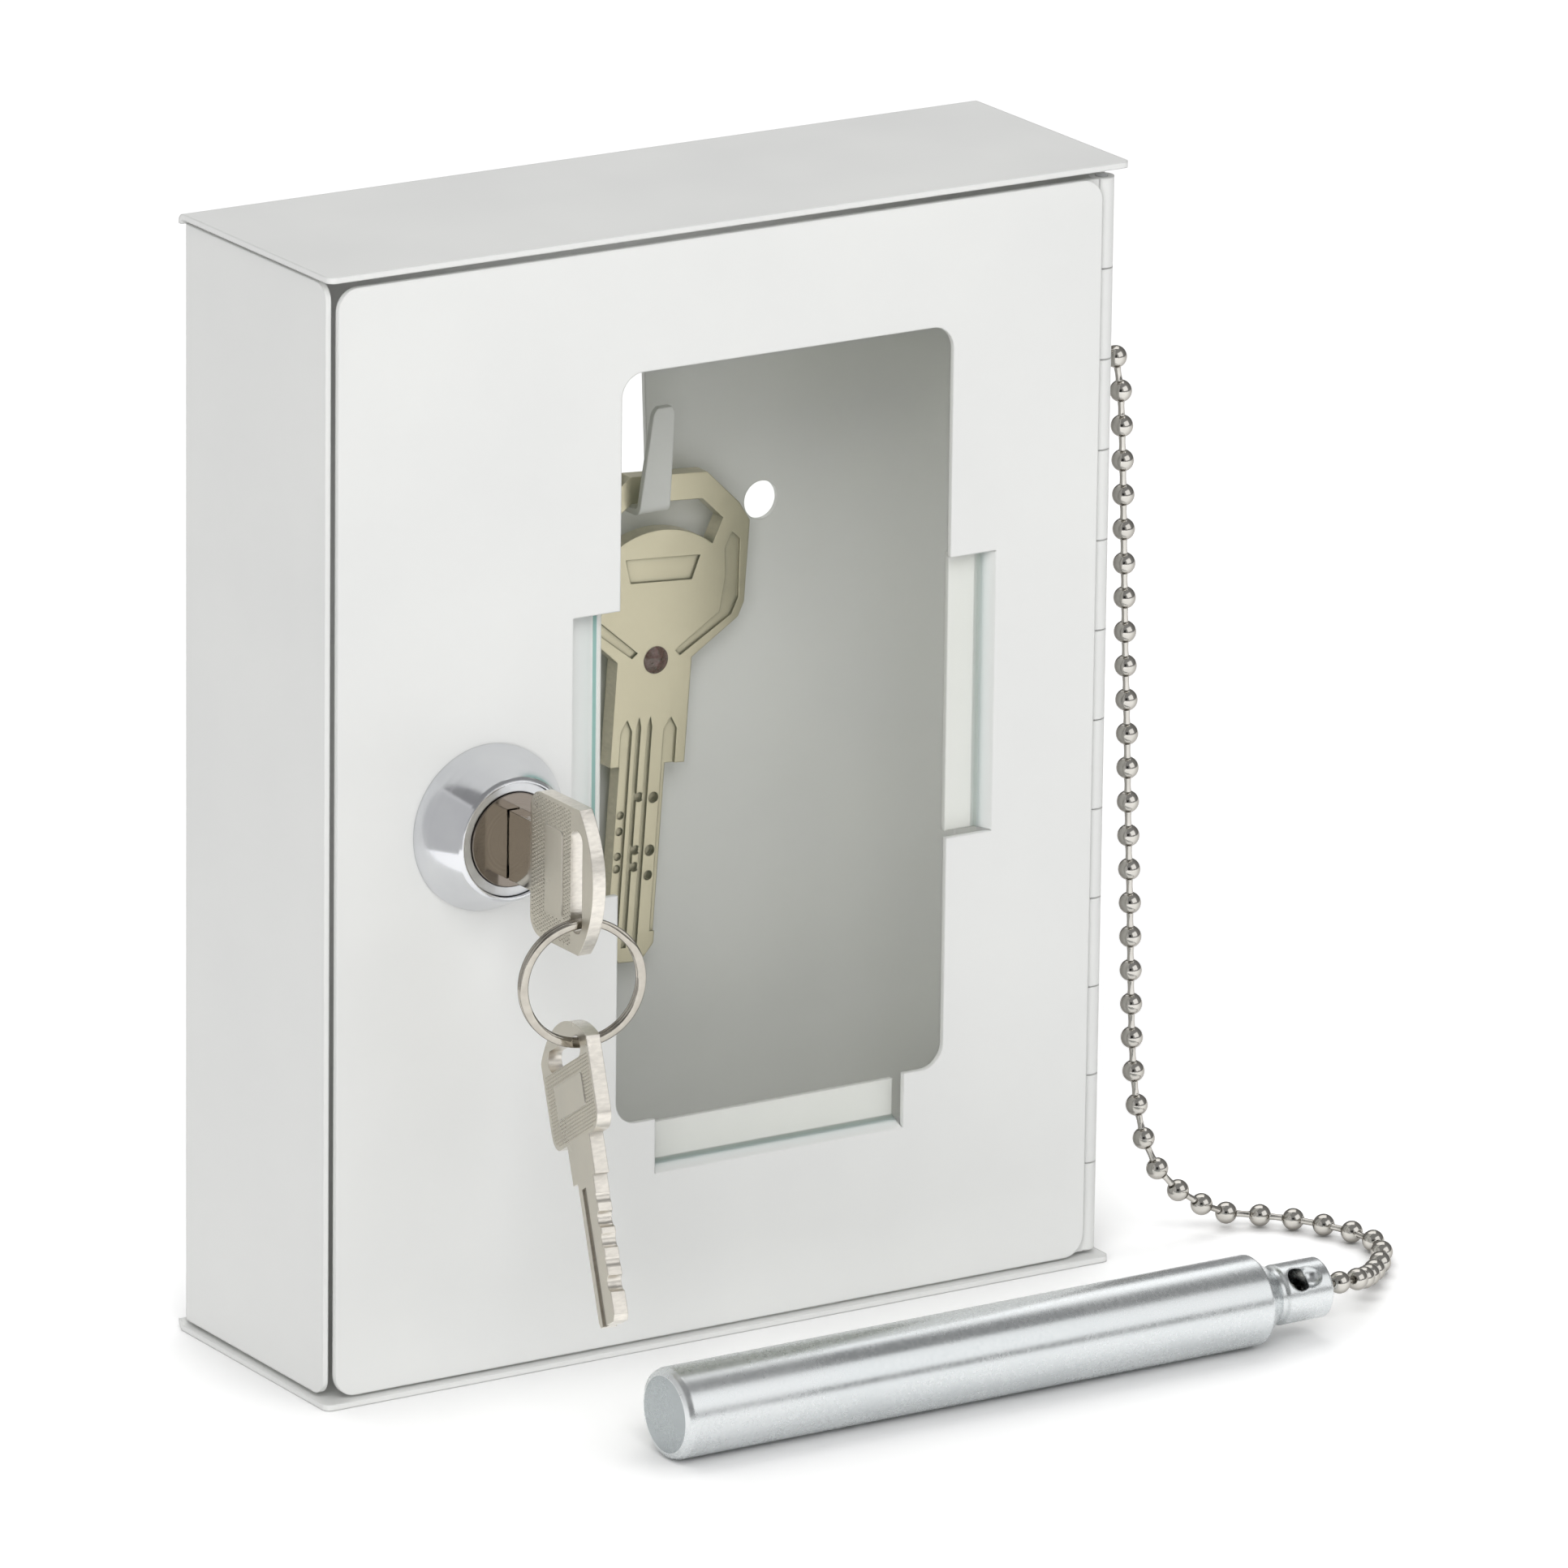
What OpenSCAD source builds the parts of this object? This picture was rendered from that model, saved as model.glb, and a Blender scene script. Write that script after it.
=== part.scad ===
// Break glass key box: a sheet steel case with a hinged door, a pane that is broken in an
// emergency, a cam lock with two keys, one stored key and a striker on a ball chain.
// Millimetres. X to the right, Y towards the wall, Z up. The origin is under the middle of the case.

/* [Case] */
// Width over the top and bottom plates
case_w = 120; // [116:1:160]
// Height over the top and bottom plates
case_h = 150; // [148:1:200]
// Depth from the plates' front edges to the wall
case_d = 38; // [37:0.5:60]
// Thickness of the case, door and hinge sheet
sheet_t = 0.8; // [0.6:0.1:1]
// Outer radius of the sheet's bends
bend_r = 1.2; // [1.1:0.1:2]
// How far the side walls stand in from the ends of the plates
wall_inset = 0.6; // [0.2:0.1:1.5]
// How far the left wall's front edge stands behind the plates' front edges
wall_setback = 2; // [1.9:0.1:5]
// Slit between a side wall and the plates
corner_gap = 0.6; // [0.5:0.1:1.5]
// Radius of the left wall's and the plates' front corners
wall_corner_r = 2.2; // [0.5:0.1:4]

/* [Wall screws] */
// Distance between the two screw holes in the back
screw_spacing = 55; // [44:1:80]
// Height of the screw holes
screw_z = 100; // [60:1:110]
// Diameter of the screw holes
screw_d = 5.2; // [3:0.1:6]

/* [Hook] */
// Distance of the key hook to the right of the middle
hook_x = 7.5; // [0:0.5:14]
// Height of the hook's bearing face, on which a key hangs
hook_z = 103; // [98:0.5:110]
// How far the hook reaches out of the back panel
hook_reach = 6; // [5.6:0.1:9]
// Width of the hook at its root
hook_root_w = 4.8; // [4:0.1:5.2]
// Width of the hook at its tip
hook_tip_w = 3.3; // [2:0.1:4]
// Length of the hook's upright part
hook_rise = 14; // [10:0.5:18]
// How far the hook's upright part leans forward, in degrees
hook_lean = 9; // [0:1:20]

/* [Door] */
// How far the door's face stands behind the plates' front edges
door_recess = 1; // [0.5:0.1:1.6]
// Gap between the door and the bottom plate
door_gap_low = 0.4; // [0.3:0.1:1]
// Gap between the door and the top plate
door_gap_high = 1.2; // [0.3:0.1:2]
// Gap between the door's free edge and the left wall's inner face
door_gap_side = 0.5; // [0.3:0.1:2]
// Radius of the door's corners
door_r = 3; // [1:0.5:5]

/* [Window and pane] */
// Distance from the lock's middle to the window's left side
window_from_lock = 19.6; // [19.2:0.1:22]
// Distance from the window's right side to the door's hinged edge
window_from_hinge = 22.6; // [20:0.1:26]
// Distance from the door's lower edge to the window's
window_from_bottom = 29.8; // [24:0.1:36]
// Distance from the window's upper edge to the door's
window_from_top = 16.6; // [10:0.1:26]
// Radius of the window's corners
window_r = 3.2; // [1:0.1:5]
// How far the pressed tabs' notches reach past the window's sides
tab_reach = 7; // [6.4:0.1:7.4]
// How far the lower tab's notch reaches past the window's lower edge
low_tab_reach = 7.4; // [6:0.1:9]
// Length of the side tabs
side_tab_l = 38; // [20:0.5:50]
// Distance from the lower tab's ends to the window's sides
low_tab_inset = 6; // [4:0.5:14]
// Width of the sloping step that sets a tab back
tab_step = 1.2; // [1:0.1:1.7]
// Thickness of the glass pane
glass_t = 1.5; // [1.2:0.1:2.5]
// How far the pane reaches past the window's sides
glass_lap = 4; // [2.5:0.1:4.1]
// How far the pane sits to the right of the window's middle
glass_shift = 1.2; // [0:0.1:1.5]
// How far the pane reaches above the window
glass_rise = 6; // [3:0.5:8]
// Gap between the pane and the sheet before and behind it
glass_play = 0.1; // [0.1:0.05:0.3]

/* [Hinge] */
// Number of knuckles, of which every second one is the door's
knuckles = 12; // [6:2:16]
// Outer diameter of the knuckles
knuckle_d = 3.4; // [3.2:0.1:3.6]
// Diameter of the hinge pin
pin_d = 1.6; // [1.2:0.1:1.8]
// Radial play of the hinge pin
pin_play = 0.05; // [0.02:0.01:0.1]
// Width of a hinge leaf, from the pin's middle
leaf_w = 11; // [9:0.5:12]

/* [Lock] */
// Distance of the lock's middle from the door's left edge
lock_inset = 22.2; // [21:0.1:23]
// Height of the lock's middle
lock_z = 74.5; // [70:0.5:85]
// Diameter of the bezel at the door
bezel_d = 22; // [20.5:0.1:23]
// Diameter of the bezel's front rim
bezel_rim_d = 16.4; // [15.8:0.1:18]
// Height of the bezel
bezel_h = 7; // [4:0.1:9]
// Diameter of the barrel that passes through the door
barrel_d = 15; // [14:0.1:15.2]
// Length of the barrel behind the door's face
barrel_l = 16; // [14:0.5:18]
// Diameter of the plug that the key turns
plug_d = 12.4; // [12:0.1:12.6]
// Width of the nut across its flats
nut_w = 20; // [18:0.5:20.5]
// Thickness of the nut
nut_t = 3; // [2:0.1:4]
// Length of the cam from the lock's middle to its tip
cam_l = 19; // [18:0.5:20]
// Width of the cam
cam_w = 14; // [10:0.5:15]
// Thickness of the cam
cam_t = 1.5; // [1:0.1:2]
// Number of wafers in the plug
wafers = 5; // [3:1:5]

/* [Lock keys] */
// Thickness of the lock's keys
key_t = 1.9; // [1.6:0.1:2.1]
// Length of the bow
bow_l = 15.2; // [14.5:0.1:18]
// Width of the bow
bow_w = 19.2; // [18.6:0.1:21]
// Length of the neck between bow and shoulder
neck_l = 5.2; // [3:0.1:6]
// Width of the neck
neck_w = 9.2; // [8:0.1:10]
// Length of the blade
blade_l = 18.8; // [17:0.1:19]
// Width of the blade
blade_w = 6.4; // [5:0.1:6.6]
// Length of the bow's slot
bow_slot_l = 13.6; // [13:0.1:14.2]
// Width of the bow's slot
bow_slot_w = 2.8; // [2.3:0.1:3]
// How far the bow hangs below the blade's middle
bow_drop = 1; // [0:0.1:1.2]

/* [Ring] */
// Inner diameter of the key ring
ring_d = 14.4; // [13.6:0.1:18]
// Thickness of the ring's wire
ring_wire_d = 1.4; // [1:0.1:1.5]
// Angle that the ring is turned to the left, in degrees
ring_turn = 12; // [0:1:15]
// Angle at which the spare key hangs, tip to the front, in degrees
spare_lean = 28; // [5:0.5:32]

/* [Stored key] */
// Thickness of the stored key
stored_t = 2.5; // [2:0.1:2.8]
// Half width of the stored key's bow
stored_bow_half = 13; // [12:0.1:15]
// Width of the stored key's stem
stored_stem_w = 11.4; // [10:0.1:12]
// Width of the stored key's blade
stored_blade_w = 7; // [6:0.1:9]
// Length of the stored key from the rivet to the tip
stored_blade_l = 41; // [36:0.5:44]
// Diameter of the rivet in the stored key
stored_rivet_d = 3.7; // [2:0.1:5]
// Angle at which the stored key hangs, tip to the left, in degrees
stored_lean = 4; // [0:0.5:5]

/* [Striker and chain] */
// Diameter of the striker's rod
striker_d = 12; // [10:0.5:14]
// Length of the striker
striker_l = 100; // [80:1:120]
// Diameter of the striker's end piece
striker_end_d = 8; // [7:0.1:9]
// Length of the striker's end piece with its shoulder
striker_end_l = 10.8; // [10.8:0.1:14]
// Diameter of a ball of the chain
ball_d = 3; // [2.4:0.1:3]
// Diameter of a link between two balls
link_d = 0.9; // [0.6:0.1:1]

/* [Hidden] */
$fn = 64;
// A cut passes this far beyond the faces it opens
over = 0.5;

// Planes of the case
front_y = -case_d / 2;
panel_y = case_d / 2 - sheet_t;
wall_out_x = case_w / 2 - wall_inset;
wall_in_x = wall_out_x - sheet_t;
wall_low = sheet_t + corner_gap;
wall_high = case_h - sheet_t - corner_gap;
wall_front_y = front_y + wall_setback;

// Hook, an L of the back panel's own sheet
hook_bend = 0.6;
bend_overlap = 2;
slot_kerf = 0.2;
slot_h = hook_rise + hook_reach - 0.5;

// Planes of the door
door_y = front_y + door_recess;
door_back_y = door_y + sheet_t;
door_low = sheet_t + door_gap_low;
door_high = case_h - sheet_t - door_gap_high;

// Hinge, with its pin just inside the right wall and behind the door
knuckle_r = knuckle_d / 2;
leaf_offset = 0.2;
knuckle_clear = 0.22;
knuckle_gap = 0.15;
hinge_x = wall_in_x - sheet_t - leaf_offset;
hinge_y = door_back_y + knuckle_r - leaf_offset;
hinge_low = sheet_t + 0.6;
hinge_high = case_h - sheet_t - 1.4;
knuckle_h = (hinge_high - hinge_low) / knuckles;
right_wall_front_y = hinge_y + knuckle_r + knuckle_clear;
door_right = hinge_x - sqrt(pow(knuckle_r + knuckle_clear, 2) - pow(knuckle_r - leaf_offset, 2));
door_left = -wall_in_x + door_gap_side;

// Window, tabs and pane
lock_x = door_left + lock_inset;
window_left = lock_x + window_from_lock;
window_right = door_right - window_from_hinge;
window_w = window_right - window_left;
window_x = (window_left + window_right) / 2;
window_z = door_low + window_from_bottom;
window_top = door_high - window_from_top;
window_h = window_top - window_z;
side_tab_z = (window_z + window_top) / 2;
low_tab_l = window_w - 2 * low_tab_inset;
joggle = sheet_t + glass_t + 2 * glass_play;
tab_kerf = 0.15;
tab_gap = 1.3;
tab_lean = sheet_t * (sqrt(pow(tab_step, 2) + pow(joggle, 2)) - tab_step) / joggle;
glass_low = window_z - low_tab_reach + tab_step + 0.1;
glass_h = window_top + glass_rise - glass_low;

// Lock, on an axis along Y; the bezel stands on the door's face
bore_play = 0.08;
bezel_flange_t = 1.4;
bezel_flange_d = barrel_d + 3;
barrel_front_y = door_y - bezel_h + 0.6;
barrel_back_y = door_y + barrel_l;
plug_front_y = door_y - bezel_h + 0.3;
washer_t = 0.6;
cam_play = 0.15;
cam_y = barrel_back_y + cam_play;
tenon_w = 7;
cam_screw_d = 4;
cam_washer_t = 0.8;
wafer_t = 0.6;
wafer_w = 5.4;
wafer_h = 10.8;
keyway_play = 0.1;
keyway_w = key_t + 2 * keyway_play;
keyway_h = blade_w + 2 * keyway_play;
keyway_l = blade_l + 0.5;

// Keeper behind which the cam turns
keeper_t = 1;
keeper_h = 25;
keeper_reach = 8;
keeper_y = cam_y - 0.5 - keeper_t;

// Lock key and ring: the ring goes round the web below the bow's slot
shoulder_gap = 0.3;
bow_end_r = 15;
slot_in = 4;
bow_pad_gap = 2;
bow_pad_w = 4.2;
bow_pad_l = 11.4;
bow_pad_rise = 0.12;
key_groove_w = 1.6;
key_groove_t = 0.45;
web_h = (bow_w - bow_slot_l) / 2;
web_v = -(bow_w + bow_slot_l) / 4;
ring_r = ring_d / 2;
ring_mid_r = ring_r + ring_wire_d / 2;
ring_play = 0.25;
ring_drop = ring_r - sqrt(pow(web_h, 2) + pow(key_t, 2)) / 2 - ring_play;
bow_slot_u = neck_l + bow_l - slot_in;
ring_y = plug_front_y - shoulder_gap - bow_slot_u;
ring_pivot_z = lock_z - bow_drop + web_v;
ring_z = ring_pivot_z - ring_drop;
spare_z = ring_z - ring_mid_r;
spare_hang_v = bow_slot_l / 2 - bow_slot_w / 2 - 0.6;
spare_hang_u = bow_slot_u + (bow_slot_w - ring_wire_d) / 2 - 0.2;

// Stored key, drawn about its rivet; its window hangs on the hook
stored_y = panel_y - 1.6 - stored_t;
stored_top = 25;
stored_window_top = 21.4;
stored_shoulder = 14.2;
stored_hang_s = -3;
stored_hang_play = 0.4;
stored_relief = 0.35;
stored_groove_w = 0.7;
// Middles of the round dimples in the blade as [across, up, radius]
stored_dimples = [
    [1.1, -18.7, 0.75], [1.1, -25.9, 0.75], [1.1, -29.3, 0.65], [-3.6, -20.9, 0.55], [-3.6, -23.1, 0.55],
    [-3.6, -26.5, 0.55], [-3.6, -28.2, 0.55], [-3.6, -32.9, 0.55], [-1.1, -18.5, 0.65],
    [-1.1, -25.7, 0.65], [-1.1, -28, 0.65]
];

// Chain hole: a keyhole that lets a ball through and holds the chain by a link
keyhole_d = ball_d + 0.2;
keyhole_slot_w = link_d + 0.4;
keyhole_rise = 4.5;
keyhole_margin = 0.4;
chain_y = right_wall_front_y + keyhole_margin + keyhole_d / 2;
chain_z = 125;
anchor_inset = 3.4;
chain_mouth = [wall_out_x, chain_y, 0];

// Middle line of the chain from the foot of its hole, down the right wall to the ball on which it
// turns, and on over the floor to the striker
hanging_steps = [
    [0.3, 0, 125], [1.3, 0, 124.9], [2.4, -0.2, 123.9], [3.3, -0.5, 121.8], [3.8, -0.8, 118.6],
    [4, -1.1, 113], [4.3, -1.2, 105], [4.6, -1.2, 97], [4.9, -1.2, 89], [5.2, -1.2, 81],
    [5.6, -1.2, 73], [5.9, -1.2, 65], [6.2, -1.2, 57], [6.6, -1.2, 49], [6.9, -1.2, 41],
    [7.2, -1.2, 33], [7.5, -1.3, 26], [7.9, -1.7, 20], [8.5, -2.4, 15.4], [9.7, -3.2, 11.4],
    [12.3, -3.8, 7.8], [16.5, -3.8, 4.6], [21.6, -3.4, 2.1]
];
floor_steps = [
    [23.3, -4.1, 1.9], [25.9, -5.9, 1.7], [28.8, -9.1, 1.6], [31, -13.2, 1.6], [32.5, -17.2, 1.6],
    [32.9, -21.2, 1.6], [31.7, -25.2, 1.6], [29.2, -28.8, 1.6], [26.2, -32, 1.9], [22.9, -35.5, 2.7],
    [19.5, -39.1, 3.9], [16.4, -42.1, 5.1], [13.6, -43.6, 5.8]
];
hanging_route = [for (step = hanging_steps) chain_mouth + step];
floor_route = [for (step = floor_steps) chain_mouth + step];

// Striker, lying on the floor in front of the door, and the chain's last balls in its end piece
striker_beside = 8.6;
striker_before = 44.2;
striker_tail_x = wall_out_x + striker_beside;
striker_y = chain_y - striker_before;
striker_bore_d = 3.4;
striker_throat_d = 1.6;
striker_mouth_l = 2.2;
striker_seat_l = 3.5;
striker_notch_d = 3.6;
tail_balls = [-4.8, -0.6, 3.4];

steel_white = "#e9eaea";
bright_nickel = "#c9c6bf";

// Drawing helpers

// Extrudes a drawing made in X and Z by t, from y towards the wall
module slab(y, t) {
    translate([0, y + t, 0]) rotate([90, 0, 0]) linear_extrude(t) children();
}

// Extrudes a drawing made in Y and Z by w, from x to the right
module plank(x, w) {
    translate([x, 0, 0]) rotate([90, 0, 90]) linear_extrude(w) children();
}

// A rod along Y, or with flats along Y when sides is 6
module rod_y(x, y, z, d, l, sides = 64) {
    translate([x, y, z]) rotate([-90, 0, 0]) cylinder(d = d, h = l, $fn = sides);
}

// A rod along X
module rod_x(x, y, z, d, l) {
    translate([x, y, z]) rotate([0, 90, 0]) cylinder(d = d, h = l);
}

// A rectangle with round corners, its lower left corner at the origin
module round_rect(w, h, r) {
    translate([r, 0]) square([w - 2 * r, h]);
    translate([0, r]) square([w, h - 2 * r]);
    for (x = [r, w - r], y = [r, h - r]) translate([x, y]) circle(r);
}

// What a round corner of radius r at the origin leaves of a square one
module corner_waste(r) {
    difference() {
        translate([-over, -over]) square(r + over);
        translate([r, r]) circle(r);
    }
}

// A quarter of a bent sheet of outer radius r
module bend(r, t) {
    intersection() {
        difference() {
            circle(r);
            circle(r - t);
        }
        square(r);
    }
}

// A channel of bent sheet: its web lies at y = d and its legs reach to y = 0
module channel(w, d, r, t) {
    translate([-(w / 2 - r), d - t]) square([w - 2 * r, t]);
    for (side = [0, 1]) mirror([side, 0]) {
        translate([w / 2 - r, d - r]) bend(r, t);
        translate([w / 2 - t, 0]) square([t, d - r]);
    }
}

// The keyhole that lets a ball through and holds the chain by a link, in Y and Z
module chain_keyhole() {
    translate([chain_y, chain_z + keyhole_rise]) circle(d = keyhole_d);
    translate([chain_y - keyhole_slot_w / 2, chain_z]) square([keyhole_slot_w, keyhole_rise]);
    translate([chain_y, chain_z]) circle(d = keyhole_slot_w);
}

// Case

// The hook from the side, in Y and Z
module hook_side() {
    outer = hook_bend + sheet_t;
    bend_y = panel_y - hook_reach + outer;
    translate([bend_y, hook_z - sheet_t]) square([panel_y - bend_y + sheet_t / 2, sheet_t]);
    translate([bend_y, hook_z + hook_bend]) {
        intersection() {
            difference() {
                circle(outer);
                circle(hook_bend);
            }
            polygon([[0, 0], [0, -2 * outer], [-2 * outer, -2 * outer],
                [-2 * outer, -2 * outer * tan(hook_lean - bend_overlap)]]);
        }
        rotate(hook_lean) translate([-outer, 0]) square([sheet_t, hook_rise]);
    }
}

// A tapering tongue with a round tip, in X and Z
module tongue(root_w, tip_w, h) {
    polygon([[-root_w / 2, 0], [root_w / 2, 0], [tip_w / 2, h - tip_w / 2], [-tip_w / 2, h - tip_w / 2]]);
    translate([0, h - tip_w / 2]) circle(d = tip_w);
}

module hook() {
    intersection() {
        plank(hook_x - hook_root_w, 2 * hook_root_w) hook_side();
        translate([hook_x, 0, hook_z - sheet_t - 1])
            slab(front_y, case_d) tongue(hook_root_w, hook_tip_w, hook_rise + sheet_t + hook_bend + 1);
    }
}

// The top and bottom plates, bent forward from the back, which is cut away beside the side walls
module plates() {
    web_low = max(wall_low, bend_r);
    difference() {
        plank(-case_w / 2, case_w)
            translate([front_y, case_h / 2]) rotate(-90) channel(case_h, case_d, bend_r, sheet_t);
        for (side = [0, 1]) mirror([side, 0, 0])
            translate([wall_out_x - bend_r, panel_y - over, web_low])
                cube([wall_inset + bend_r + over, sheet_t + 2 * over, case_h - 2 * web_low]);
        for (x = [0, 1], z = [0, 1])
            mirror([x, 0, 0]) translate([-case_w / 2, front_y, z * case_h - sheet_t - over])
                linear_extrude(2 * (sheet_t + over)) corner_waste(wall_corner_r / 2);
    }
}

// The side walls, bent forward from the back; the right one ends behind the hinge
module side_walls() {
    difference() {
        translate([0, wall_front_y, wall_low]) linear_extrude(wall_high - wall_low)
            channel(2 * wall_out_x, case_d / 2 - wall_front_y, bend_r, sheet_t);
        translate([wall_in_x - over, wall_front_y - over, 0])
            cube([sheet_t + 2 * over, right_wall_front_y - wall_front_y + over, case_h]);
        plank(-wall_out_x - over, sheet_t + 2 * over) {
            translate([wall_front_y, wall_low]) corner_waste(wall_corner_r);
            translate([wall_front_y, wall_high]) mirror([0, 1]) corner_waste(wall_corner_r);
        }
    }
}

module case_shell() {
    color(steel_white) {
        difference() {
            union() {
                plates();
                side_walls();
            }
            translate([hook_x, 0, hook_z])
                slab(panel_y - over, sheet_t + 2 * over)
                    tongue(hook_root_w + 2 * slot_kerf, hook_tip_w + 2 * slot_kerf, slot_h);
            for (side = [-1, 1])
                rod_y(side * screw_spacing / 2, panel_y - over, screw_z, screw_d, sheet_t + 2 * over);
            plank(wall_in_x - over, sheet_t + 2 * over) chain_keyhole();
        }
        hook();
    }
}

// An angle on the left wall, whose lip the cam turns behind
module lock_keeper() {
    color(steel_white) translate([-wall_in_x, 0, lock_z - keeper_h / 2]) {
        translate([0, keeper_y - keeper_reach, 0]) cube([keeper_t, keeper_reach, keeper_h]);
        translate([0, keeper_y, 0]) cube([keeper_reach, keeper_t, keeper_h]);
    }
}

// Hinge

// Cylinders round the pin over the knuckles of one leaf: own is 1 for the case's, 0 for the door's
module knuckle_rods(own, r, gap) {
    for (i = [own : 2 : knuckles - 1])
        translate([hinge_x, hinge_y, hinge_low + i * knuckle_h + gap / 2])
            cylinder(r = r, h = knuckle_h - gap);
}

// A hinge leaf: its child is the flat part, which gives way to the other leaf's knuckles
module hinge_leaf(own) {
    difference() {
        union() {
            children();
            knuckle_rods(own, knuckle_r, knuckle_gap);
        }
        knuckle_rods(1 - own, knuckle_r + knuckle_clear, 0);
        translate([hinge_x, hinge_y, 0]) cylinder(r = pin_d / 2 + pin_play, h = case_h);
    }
}

module case_hinge_leaf() {
    color(steel_white) difference() {
        hinge_leaf(1)
            translate([wall_in_x - sheet_t, hinge_y + pin_d / 2, hinge_low])
                cube([sheet_t, leaf_w - pin_d / 2, hinge_high - hinge_low]);
        plank(wall_in_x - sheet_t - over, sheet_t + 2 * over) chain_keyhole();
    }
}

module hinge_pin() {
    color("#b9bcbe") translate([hinge_x, hinge_y, hinge_low]) cylinder(d = pin_d, h = hinge_high - hinge_low);
}

module door_hinge_leaf() {
    color(steel_white) hinge_leaf(0)
        translate([hinge_x - leaf_w, door_back_y, hinge_low])
            cube([leaf_w - pin_d / 2, sheet_t, hinge_high - hinge_low]);
}

// Door

// Section of a tab that is set back behind the pane by a step of the sheet's own thickness: reach
// across, depth back
function tab_section(reach) = [
    [-sheet_t, 0], [0, 0], [tab_step, joggle], [reach - tab_gap, joggle],
    [reach - tab_gap, joggle + sheet_t], [tab_step - tab_lean, joggle + sheet_t], [-tab_lean, sheet_t],
    [-sheet_t, sheet_t]
];

module side_tab() {
    translate([window_left - tab_reach, door_y, side_tab_z - side_tab_l / 2 + tab_kerf])
        linear_extrude(side_tab_l - 2 * tab_kerf) polygon(tab_section(tab_reach));
}

module low_tab() {
    plank(window_x - low_tab_l / 2 + tab_kerf, low_tab_l - 2 * tab_kerf)
        translate([door_y, window_z - low_tab_reach])
            polygon([for (p = tab_section(low_tab_reach)) [p[1], p[0]]]);
}

module window_outline() {
    translate([window_left, window_z]) round_rect(window_w, window_h, window_r);
    translate([window_left - tab_reach, side_tab_z - side_tab_l / 2])
        square([window_w + 2 * tab_reach, side_tab_l]);
    translate([window_x - low_tab_l / 2, window_z - low_tab_reach]) square([low_tab_l, window_h / 2]);
}

module door_panel() {
    color(steel_white) difference() {
        union() {
            slab(door_y, sheet_t) difference() {
                translate([door_left, door_low])
                    round_rect(door_right - door_left, door_high - door_low, door_r);
                window_outline();
            }
            side_tab();
            translate([2 * window_x, 0, 0]) mirror([1, 0, 0]) side_tab();
            low_tab();
        }
        rod_y(lock_x, door_y - over, lock_z, barrel_d + 2 * bore_play, sheet_t + 2 * over);
    }
}

module glass_pane() {
    color([0.75, 0.9, 0.88, 0.35])
        translate([window_left - glass_lap + glass_shift, door_back_y + glass_play, glass_low])
            cube([window_w + 2 * glass_lap, glass_t, glass_h]);
}

// Lock

module lock_bezel() {
    color("#cfd2d6") translate([lock_x, door_y, lock_z]) rotate([90, 0, 0]) difference() {
        rotate_extrude() polygon([[0, 0], [bezel_d / 2, 0], [bezel_d / 2, 0.6],
            [bezel_rim_d / 2, bezel_h - 0.4], [bezel_rim_d / 2 - 0.4, bezel_h], [0, bezel_h]]);
        translate([0, 0, -over]) cylinder(d = barrel_d + 2 * bore_play, h = bezel_h + 2 * over);
        translate([0, 0, -over])
            cylinder(d = bezel_flange_d + 2 * bore_play, h = bezel_flange_t + bore_play + over);
    }
}

module lock_barrel() {
    color("#b5b8bb") difference() {
        union() {
            rod_y(lock_x, barrel_front_y, lock_z, barrel_d, barrel_back_y - barrel_front_y);
            rod_y(lock_x, door_y - bezel_flange_t, lock_z, bezel_flange_d, bezel_flange_t);
        }
        rod_y(lock_x, barrel_front_y - over, lock_z, plug_d + 2 * bore_play,
            barrel_back_y - barrel_front_y + 2 * over);
    }
}

module lock_washer() {
    color("#a9acae") difference() {
        rod_y(lock_x, door_back_y, lock_z, nut_w, washer_t);
        rod_y(lock_x, door_back_y - over, lock_z, barrel_d + 2 * bore_play, washer_t + 2 * over);
    }
}

module lock_nut() {
    color("#b9bcbe") difference() {
        rod_y(lock_x, door_back_y + washer_t, lock_z, nut_w / cos(30), nut_t, 6);
        rod_y(lock_x, door_back_y + washer_t - over, lock_z, barrel_d + 2 * bore_play, nut_t + 2 * over);
    }
}

// Place of wafer i along Y, evenly from behind the plug's face to its end
function wafer_y(i) = plug_front_y + 5 + i * (barrel_back_y - plug_front_y - 8) / wafers;

module lock_plug() {
    color(bright_nickel) difference() {
        union() {
            rod_y(lock_x, plug_front_y, lock_z, plug_d, barrel_back_y + cam_play / 2 - plug_front_y);
            translate([lock_x - tenon_w / 2, barrel_back_y, lock_z - tenon_w / 2])
                cube([tenon_w, cam_play + cam_t - 0.1, tenon_w]);
        }
        translate([lock_x - keyway_w / 2, plug_front_y - over, lock_z - keyway_h / 2])
            cube([keyway_w, keyway_l + over, keyway_h]);
        for (i = [0 : wafers - 1])
            translate([lock_x - wafer_w / 2 - keyway_play, wafer_y(i) - keyway_play, lock_z - plug_d / 2])
                cube([wafer_w + 2 * keyway_play, wafer_t + 2 * keyway_play, plug_d]);
        rod_y(lock_x, barrel_back_y - 2, lock_z, cam_screw_d, 5);
    }
}

module lock_wafers() {
    color("#c8a95a") for (i = [0 : wafers - 1])
        translate([lock_x, wafer_y(i), lock_z]) difference() {
            translate([-wafer_w / 2, 0, -wafer_h / 2]) cube([wafer_w, wafer_t, wafer_h]);
            translate([-keyway_w / 2 - keyway_play, -over, -keyway_h / 2 - keyway_play])
                cube([keyway_w + 2 * keyway_play, wafer_t + 2 * over, keyway_h + 2 * keyway_play]);
        }
}

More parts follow.
